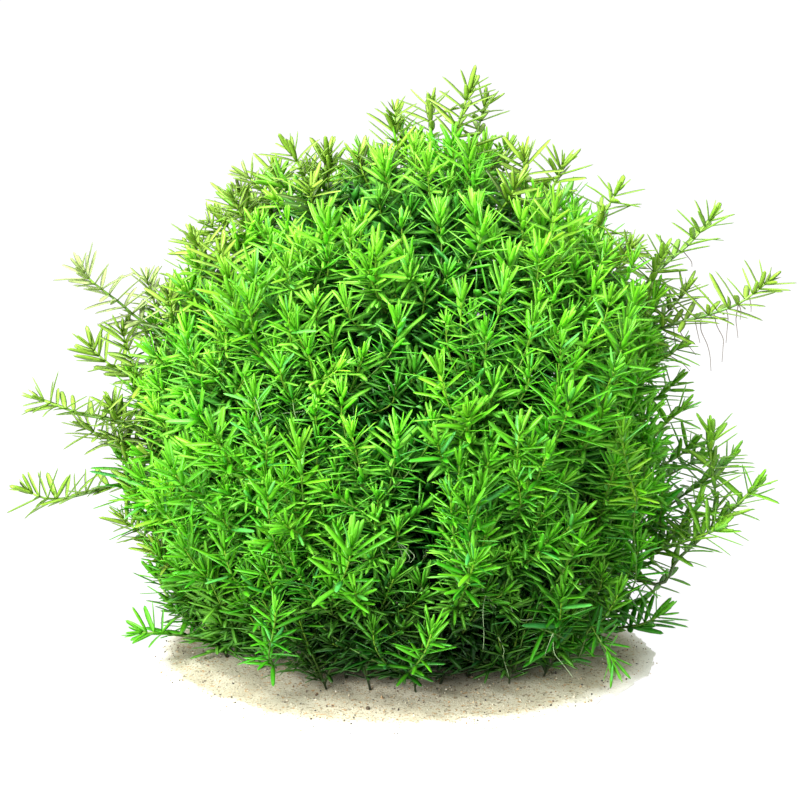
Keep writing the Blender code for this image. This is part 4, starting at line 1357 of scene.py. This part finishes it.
def piece_from_store(name, store, materials):
    """A smooth mesh object from a store."""
    values = dict(zip(VALUE_NAMES, np.vstack(store["values"]).T))
    piece = new_piece(name, np.vstack(store["points"]), store["faces"], values, materials)
    mesh = piece.data
    layer = mesh.uv_layers.new(name="OFBake")
    layer.uv.foreach_set("vector", np.vstack(store["spots"]).astype(np.float32).ravel())
    mesh.polygons.foreach_set("material_index", np.array(store["materials"], dtype=np.int32))
    mesh.shade_smooth()
    mesh.update()
    return piece


def air_root_path(root, spots, places, nearest):
    """A root from the stem nearest to where the photograph shows it, through its bends."""
    across, down, *bends = root
    too_near = np.clip(spots[:, 1] - nearest, 0.0, None)
    apart = np.hypot(places[:, 0] - across, places[:, 1] - down) + NEAR_WEIGHT * too_near
    start = spots[int(np.argmin(apart))]
    points = [start]
    for right, below in bends:
        depth = start[1] - AIR_ROOT_STEP * len(points)
        points.append(picture_point(across + right, down + below, depth))
    return smooth_path(np.array(points))


def add_air_roots(shoots, offset, material):
    """Fine roots that hang from the stems, a piece for each area."""
    spots = np.vstack([shoot["path"] + offset for shoot in shoots])
    places = picture_place(spots)
    for area, tone, radius, nearest, roots in AIR_ROOTS:
        store = new_store()
        for row, root in enumerate(roots):
            points = air_root_path(root, spots, places, nearest) - offset
            points[:, 2] = np.maximum(points[:, 2], LOWEST_AIR_ROOT)
            share = np.linspace(0.0, 1.0, len(points))
            values = np.zeros((len(points), len(VALUE_NAMES)))
            values[:, VALUE_NAMES.index("tone")] = tone
            values[:, VALUE_NAMES.index("sheen_pick")] = 0.5
            values[:, VALUE_NAMES.index("age")] = share
            radii = radius * (1.0 - AIR_ROOT_TAPER * share)
            store_tube(store, points, radii, AIR_ROOT_SIDES, row, len(roots), values, 0)
        piece = piece_from_store("air_roots_" + area, store, [material])
        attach(piece, "root")


def stem_names(shoots):
    """The name of each stem's node, by the stem's number."""
    counts = {}
    names = {}
    for shoot in shoots:
        if shoot["kind"] == "main":
            counts[shoot["area"]] = counts.get(shoot["area"], 0) + 1
            names[shoot["stem"]] = "stem_%s_%02d" % (shoot["area"], counts[shoot["area"]])
    return names


def store_stem(store, shoot, row, rows):
    """Add a shoot's stem to a store."""
    kind = shoot["kind"]
    points, stations = fine_path(shoot["path"], TUBE_STEP)
    radii = TIP_RADIUS + (FEET[kind] - TIP_RADIUS) * held(stations / FOOT_LENGTH)
    radii = radii * (CLEAR_STEM_GAIN if shoot["clear"] else 1.0)
    radii[-1] = 0.5 * TIP_RADIUS
    if kind == "main":
        points[0, 2] -= ROOT_DEPTH
    level = np.interp(np.linspace(0.0, 1.0, len(points)), np.linspace(0.0, 1.0, len(shoot["level"])),
                      shoot["level"])
    half = np.full(len(points), 0.5)
    # The depth and low values carry painted shade: darker stems deep in the crown and near the sand.
    values = np.stack([half, half, held(stations / STEM_AGE_LENGTH), held((1.0 - level) / STEM_DEPTH_SPAN),
                       2.0 * half * shoot["pale"], held(1.0 - points[:, 2] / STEM_SHADE_HEIGHT),
                       0.0 * half], axis=1)
    store_tube(store, points, radii, TUBE_SIDES[kind], row, rows, values, 1)


def add_stems(shoots, materials):
    """A leafy piece for each stem's node."""
    leaves = leaf_table(shoots)
    fine = (leaves["level"] > FINE_LEVEL) & (leaves["length"] > FINE_LENGTH)
    inner = (leaves["level"] < INNER_LEVEL) | (leaves["length"] < SMALL_LEAF)
    for stem, name in stem_names(shoots).items():
        store = new_store()
        own = leaves["stem"] == stem
        cells = np.cumsum(own) - 1
        columns = int(math.ceil(math.sqrt(np.count_nonzero(own))))
        store_leaves(store, leaves, own & fine, FINE_RINGS, FULL_SIDES, cells, columns)
        store_leaves(store, leaves, own & ~fine & ~inner, PLAIN_RINGS, 3, cells, columns)
        store_leaves(store, leaves, own & inner, INNER_RINGS, 3, cells, columns)
        own_shoots = [shoot for shoot in shoots if shoot["stem"] == stem]
        for row, shoot in enumerate(own_shoots):
            store_stem(store, shoot, row, len(own_shoots))
        piece = piece_from_store("leafy_" + name, store, materials)
        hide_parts(name)
        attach(piece, "root")


def linear(red, green, blue):
    """A colour that the screen shows with these values from 0 to 255, as light."""
    values = []
    for value in (red, green, blue):
        share = value / 255.0
        values.append(share / 12.92 if share <= 0.04045 else ((share + 0.055) / 1.055) ** 2.4)
    return (*values, 1.0)


class Graph:
    """Short calls for the nodes of one material."""

    def __init__(self, name):
        self.material = bpy.data.materials.new(name)
        self.material.use_nodes = True
        self.tree = self.material.node_tree
        self.tree.nodes.clear()

    def add(self, kind, **settings):
        """A node of a kind with these properties."""
        node = self.tree.nodes.new(kind)
        for name, value in settings.items():
            setattr(node, name, value)
        return node

    def join(self, output, target):
        """Link an output to an input."""
        self.tree.links.new(output, target)

    def give(self, node, values):
        """Set inputs of a node to values, or link them where a value is another node's output."""
        for socket, value in values.items():
            if isinstance(value, bpy.types.NodeSocket):
                self.join(value, node.inputs[socket])
            else:
                node.inputs[socket].default_value = value

    def attribute(self, name):
        """The value of the mesh that has this name."""
        return self.add("ShaderNodeAttribute", attribute_name=name).outputs["Fac"]

    def ramp(self, value, stops):
        """A colour for each value, between stops of place and colour."""
        node = self.add("ShaderNodeValToRGB")
        elements = node.color_ramp.elements
        while len(elements) < len(stops):
            elements.new(0.5)
        for element, (place, colour) in zip(elements, stops):
            element.position = place
            element.color = colour
        self.join(value, node.inputs["Fac"])
        return node.outputs["Color"]

    def mix(self, share, first, second, blend="MIX"):
        """Two colours mixed."""
        node = self.add("ShaderNodeMix", data_type="RGBA", blend_type=blend)
        self.give(node, {0: share, 6: first, 7: second})
        return node.outputs[2]

    def spread(self, value, low, high, new_low, new_high):
        """A value carried from one range to another, and held at its ends."""
        node = self.add("ShaderNodeMapRange")
        self.give(node, {"Value": value, "From Min": low, "From Max": high,
                         "To Min": new_low, "To Max": new_high})
        return node.outputs["Result"]

    def tint(self, colour, value, low, high, share, other):
        """A colour that takes on up to a share of another as a value runs from low to high."""
        return self.mix(self.spread(value, low, high, 0.0, share), colour, linear(*other))

    def product(self, first, second):
        """Two values multiplied."""
        node = self.add("ShaderNodeMath", operation="MULTIPLY")
        self.give(node, {0: first, 1: second})
        return node.outputs[0]

    def noise(self, scale, detail=2.0):
        """Noise in the piece's own space."""
        place = self.add("ShaderNodeTexCoord").outputs["Object"]
        node = self.add("ShaderNodeTexNoise")
        self.give(node, {"Vector": place, "Scale": scale, "Detail": detail})
        return node.outputs["Fac"]

    def bump(self, height, strength, distance):
        """A normal from a height."""
        node = self.add("ShaderNodeBump")
        self.give(node, {"Strength": strength, "Distance": distance, "Height": height})
        return node.outputs["Normal"]

    def surface(self, colour, roughness, **more):
        """A surface of this colour and roughness."""
        node = self.add("ShaderNodeBsdfPrincipled")
        self.give(node, {"Base Color": colour, "Roughness": roughness})
        self.give(node, {name.replace("_", " "): value for name, value in more.items()})
        return node.outputs["BSDF"]

    def finish(self, shader):
        """Give the material its surface."""
        self.join(shader, self.add("ShaderNodeOutputMaterial").inputs["Surface"])
        return self.material


def screen_stops(*stops):
    """Stops of a ramp whose colours are given as the screen shows them."""
    return [(place, linear(*colour)) for place, colour in stops]


def leaf_material():
    """Thin leaf: green by age and chance, with light coming through it. Its colour also holds painted
    light and shade: by depth in the crown, at the foot, on the margins and as a cyan reflection.
    """
    graph = Graph("leaf_green")
    # The tone carries chance and painted light: lighter, yellower green at the sides and the top.
    green = graph.ramp(graph.attribute("tone"), screen_stops(
        (0.0, (50, 166, 30)), (0.35, (82, 196, 30)), (0.70, (122, 214, 34)), (1.0, (176, 230, 62))))
    fresh = graph.spread(graph.attribute("age"), 0.0, 0.5, 0.45, 0.0)
    green = graph.mix(fresh, green, linear(140, 226, 46))
    # Painted reflection: a few leaves, picked at random, turn cyan green.
    green = graph.tint(green, graph.attribute("sheen_pick"), 0.92, 0.97, 0.46, (112, 226, 138))
    # Pale leaves: partly their own tone, partly painted backlight.
    pale = graph.attribute("pale")
    pale_and_backlit = graph.tint(linear(160, 196, 66), pale, 0.65, 1.0, 1.0, (192, 202, 134))
    green = graph.mix(graph.spread(pale, 0.0, 0.6, 0.0, 0.82), green, pale_and_backlit)
    # Painted highlight: the margins of green leaves turn lighter yellow green; pale leaves get dark olive
    # margins.
    rim = graph.tint(linear(164, 222, 84), pale, 0.35, 0.60, 1.0, (50, 62, 28))
    edge = graph.spread(graph.attribute("edge"), 0.66, 1.0, 0.0, 1.0)
    green = graph.mix(graph.product(edge, graph.spread(pale, 0.35, 0.60, 0.40, 0.84)), green, rim)
    depth = graph.attribute("depth")
    # Painted shade: leaves deep in the crown turn a darker, bluer green.
    green = graph.tint(green, depth, 0.50, 1.0, 0.85, (42, 138, 46))
    glow = graph.mix(0.30, green, linear(170, 230, 50))
    # Painted light: the colour is dimmed on the outside of the crown and brightened at middle depth.
    gains = graph.ramp(depth, [(place, (gain, gain, gain, 1.0)) for place, gain in LIGHT_GAINS])
    gain = graph.mix(1.0, gains, graph.ramp(graph.noise(900.0), MOTTLE), "MULTIPLY")
    gain = graph.mix(graph.product(graph.attribute("low"), FOOT_SHADE), gain, FOOT_DARK)
    surface = graph.surface(graph.mix(1.0, green, gain, "MULTIPLY"), 0.38, Specular_IOR_Level=0.45,
                            Normal=graph.bump(graph.noise(2600.0), 0.25, 0.0002))
    through = graph.add("ShaderNodeBsdfTranslucent")
    graph.join(graph.mix(1.0, glow, gain, "MULTIPLY"), through.inputs["Color"])
    both = graph.add("ShaderNodeMixShader")
    graph.give(both, {0: graph.spread(pale, 0.0, 1.0, 0.40, 0.24), 1: surface, 2: through.outputs["BSDF"]})
    return graph.finish(both.outputs["Shader"])


def stem_material():
    """Stem skin: yellow green near the tip, darker and browner towards the foot, with painted shade
    deep in the crown and close to the sand.
    """
    graph = Graph("stem_green")
    colour = graph.ramp(graph.attribute("age"), screen_stops(
        (0.0, (130, 176, 44)), (0.35, (84, 132, 34)), (1.0, (58, 82, 32))))
    # Painted shade: stems deep in the crown turn dark.
    colour = graph.tint(colour, graph.attribute("depth"), 0.2, 1.0, 0.6, (24, 48, 20))
    colour = graph.tint(colour, graph.noise(700.0), 0.45, 0.65, 0.25, (104, 92, 46))
    # Painted shade: stems close to the sand turn nearly black green.
    colour = graph.tint(colour, graph.attribute("low"), 0.0, 0.8, 0.85, (24, 34, 18))
    return graph.finish(graph.surface(colour, 0.45, Normal=graph.bump(graph.noise(1800.0), 0.3, 0.0002)))


def root_material():
    """Air root: grey brown, or whitish where it is young."""
    graph = Graph("root_grey")
    stops = screen_stops((0.0, (104, 92, 84)), (1.0, (160, 186, 136)))
    return graph.finish(graph.surface(graph.ramp(graph.attribute("tone"), stops), 0.5))


def sand_material():
    """Pale sand with fine ochre and grey grains."""
    graph = Graph("sand_cream")
    base = graph.ramp(graph.noise(60.0, 4.0), screen_stops(
        (0.30, (160, 155, 133)), (0.55, (182, 177, 155)), (0.75, (198, 194, 174))))
    fine = graph.noise(1500.0, 3.0)
    base = graph.tint(base, fine, 0.50, 0.66, 0.60, (150, 138, 108))
    base = graph.tint(base, graph.noise(820.0, 1.0), 0.60, 0.66, 0.75, (104, 92, 68))
    base = graph.tint(base, graph.noise(610.0, 1.0), 0.64, 0.69, 0.8, (156, 120, 72))
    base = graph.tint(base, graph.attribute("rim"), 0.91, 1.0, 0.9, (236, 235, 226))
    rough = graph.bump(fine, 0.6, 0.0006)
    return graph.finish(graph.surface(base, 0.9, Specular_IOR_Level=0.25, Normal=rough))


def grain_material():
    """Loose grains: most pale, some ochre, brown, grey and black."""
    graph = Graph("grain_mixed")
    colour = graph.ramp(graph.attribute("tone"), screen_stops(
        (0.0, (40, 36, 32)), (0.16, (84, 68, 50)), (0.34, (140, 114, 78)),
        (0.52, (182, 162, 124)), (0.70, (186, 178, 152)), (1.0, (206, 200, 180))))
    colour = graph.tint(colour, graph.noise(2500.0), 0.4, 0.7, 0.3, (120, 110, 96))
    return graph.finish(graph.surface(colour, 0.7))


def waves(x, y, rng, shortest, longest, count):
    """A smooth uneven height from sine waves of many directions."""
    height = np.zeros_like(x)
    for _ in range(count):
        pitch = FULL_TURN / (shortest * (longest / shortest) ** rng.uniform())
        angle = rng.uniform(0.0, FULL_TURN)
        across = x * math.cos(angle) + y * math.sin(angle)
        height += np.sin(pitch * across + rng.uniform(0.0, FULL_PHASE)) / count
    return height


def sand_top(x, y):
    """Height of the uneven sand, thin at its ragged rim."""
    rng = np.random.default_rng(SEED + 1)
    inwards = 1.0 - sand_share(x, y)
    rim = SAND_EDGE_HEIGHT + (SAND_RIM_HEIGHT - SAND_EDGE_HEIGHT) * held(inwards / RIM_SPAN)
    rough = sum(high * waves(x, y, rng, *lengths) for high, *lengths in ROUGH_WAVES)
    height = sand_height(x, y) - SAND_RIM_HEIGHT + rim + held(inwards / ROUGH_SPAN) * rough
    return np.maximum(height - SAND_SINK, LOWEST_SAND)


def add_sand(offset, material):
    """The sand bed: an uneven top, a ragged thin rim and a flat underside."""
    count = SAND_PIECE_SEGMENTS
    angles = FULL_TURN * np.arange(count) / count
    ragged = 1.0
    for high, number, phase in RIM_WAVES:
        ragged = ragged + high * np.sin(number * angles + phase)
    ragged = ragged - RIM_INSET
    shares = np.linspace(0.0, 1.0, SAND_PIECE_RINGS + 1)[1:] ** RING_POWER
    reach = sand_reach(angles)
    x = shares[:, None] * SAND_HALF_WIDTH * (np.cos(angles) * reach * ragged)[None]
    y = shares[:, None] * SAND_HALF_DEPTH * (np.sin(angles) * reach * ragged)[None]
    rings = np.stack([x, y, sand_top(x, y)], axis=2).reshape(-1, 3)
    rim = np.stack([x[-1], y[-1], np.zeros(count)], axis=1)
    middle = sand_top(np.zeros(1), np.zeros(1))[0]
    points = np.vstack([rings, rim, [(0.0, 0.0, middle)], [(0.0, 0.0, 0.0)]]) - offset
    quads = skin_faces(np.arange(SAND_PIECE_RINGS + 1), count)[0][:, (0, 3, 2, 1)]
    place = np.arange(count)
    following = (place + 1) % count
    lowest = SAND_PIECE_RINGS * count
    centre = np.full(count, lowest + count)
    fan = np.stack([centre, place, following], axis=1)
    under = np.stack([centre + 1, lowest + following, lowest + place], axis=1)
    values = {"rim": np.concatenate([np.repeat(shares, count), np.ones(count), (0.0, 0.0)])}
    faces = quads.tolist() + fan.tolist() + under.tolist()
    made = new_piece("sand_bed", points, faces, values, [material])
    made.data.shade_smooth()
    made.data.set_sharp_from_angle(angle=SHARP_ANGLE)
    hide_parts("sand")
    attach(made, "root")


def ball():
    """Points and faces of a small ball."""
    build = bmesh.new()
    bmesh.ops.create_icosphere(build, subdivisions=1, radius=1.0)
    points = np.array([vert.co[:] for vert in build.verts])
    faces = np.array([[vert.index for vert in face.verts] for face in build.faces])
    build.free()
    return points, faces


def add_grains(offset, material):
    """Loose grains on the sand and along its rim."""
    rng = np.random.default_rng(SEED + 2)
    round_points, faces = ball()
    total = GRAIN_COUNT + RIM_GRAIN_COUNT
    angle = rng.uniform(0.0, FULL_TURN, total)
    share = np.sqrt(rng.uniform(*GRAIN_SHARES, total))
    middle, width, spread = RIM_GRAINS
    share[GRAIN_COUNT:] = middle + width * rng.normal(0.0, spread, RIM_GRAIN_COUNT)
    share = np.minimum(share, FURTHEST_GRAIN)
    reach = sand_reach(angle)
    x = share * SAND_HALF_WIDTH * np.cos(angle) * reach
    y = share * SAND_HALF_DEPTH * np.sin(angle) * reach
    ground = np.where(share < LAST_ON_SAND, sand_top(x, y), 0.0)
    growth, power = GRAIN_GROWTH
    radius = GRAIN_RADIUS + growth * rng.uniform(0.0, 1.0, total) ** power
    big = rng.uniform(0.0, 1.0, total) > BIG_GRAINS
    radius = np.where(big, 2.0 * radius, radius)
    tone = rng.uniform(0.0, 1.0, total) ** GRAIN_TONE_POWER
    tone[GRAIN_COUNT:] = RIM_TONE + (1.0 - RIM_TONE) * tone[GRAIN_COUNT:]
    stretch = rng.uniform(*GRAIN_STRETCH, (total, 1, 3))
    lumps = rng.uniform(*GRAIN_LUMPS, (total, len(round_points), 1))
    turn = rng.uniform(0.0, FULL_TURN, total)
    cosine, sine = np.cos(turn)[:, None], np.sin(turn)[:, None]
    shape = round_points[None] * stretch * lumps * radius[:, None, None]
    turned = np.stack([shape[..., 0] * cosine - shape[..., 1] * sine,
                       shape[..., 0] * sine + shape[..., 1] * cosine, shape[..., 2]], axis=2)
    seat = ground + GRAIN_SEAT * radius
    points = turned + np.stack([x, y, seat], axis=1)[:, None] - offset
    points[..., 2] = np.maximum(points[..., 2], 0.0)
    index = faces[None] + (np.arange(total) * len(round_points))[:, None, None]
    values = {"tone": np.repeat(tone, len(round_points))}
    corners = index.reshape(-1, 3).tolist()
    made = new_piece("sand_grains", points.reshape(-1, 3), corners, values, [material])
    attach(made, "root")


def add_stage():
    """A plain pale floor and soft white light."""
    bpy.ops.mesh.primitive_plane_add(size=FLOOR_SIZE)
    floor = bpy.context.object
    floor.name = "floor"
    graph = Graph("floor_white")
    surface = graph.surface(FLOOR_COLOUR, 0.9, Emission_Color=WHITE, Emission_Strength=FLOOR_GLOW,
                            Specular_IOR_Level=0.0)
    floor.data.materials.append(graph.finish(surface))
    world = bpy.data.worlds.new("white_room")
    world.use_nodes = True
    background = world.node_tree.nodes["Background"]
    background.inputs["Color"].default_value = WHITE
    background.inputs["Strength"].default_value = WORLD_STRENGTH
    bpy.context.scene.world = world
    for name, place, size, power in LAMPS:
        lamp = bpy.data.lights.new(name, "AREA")
        lamp.shape = "DISK"
        lamp.size = size
        lamp.energy = power
        made = bpy.data.objects.new(name, lamp)
        made.location = place
        aim = Vector(LAMP_AIM) - Vector(place)
        made.rotation_euler = aim.to_track_quat("-Z", "Y").to_euler()
        bpy.context.scene.collection.objects.link(made)
    bpy.context.scene.view_settings.view_transform = "Standard"


def add_camera(offset):
    """The photograph's view, from a little above the front."""
    camera = bpy.data.cameras.new("camera")
    camera.lens = CAMERA_LENS
    camera.sensor_width = SENSOR_WIDTH
    made = bpy.data.objects.new("camera", camera)
    aim = Vector((-offset[0], -offset[1], VIEW_CENTRE_HEIGHT))
    back = Vector((0.0, -math.cos(CAMERA_ELEVATION), math.sin(CAMERA_ELEVATION)))
    made.location = aim + CAMERA_DISTANCE * back
    made.rotation_euler = (-back).to_track_quat("-Z", "Y").to_euler()
    bpy.context.scene.collection.objects.link(made)
    bpy.context.scene.camera = made


def main():
    """Dress the frame."""
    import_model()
    offset = frame_offset()
    add_camera(offset)
    add_stage()
    shoots = dressed_shoots(offset)
    add_stems(shoots, [leaf_material(), stem_material()])
    add_air_roots(shoots, offset, root_material())
    add_sand(offset, sand_material())
    add_grains(offset, grain_material())


main()
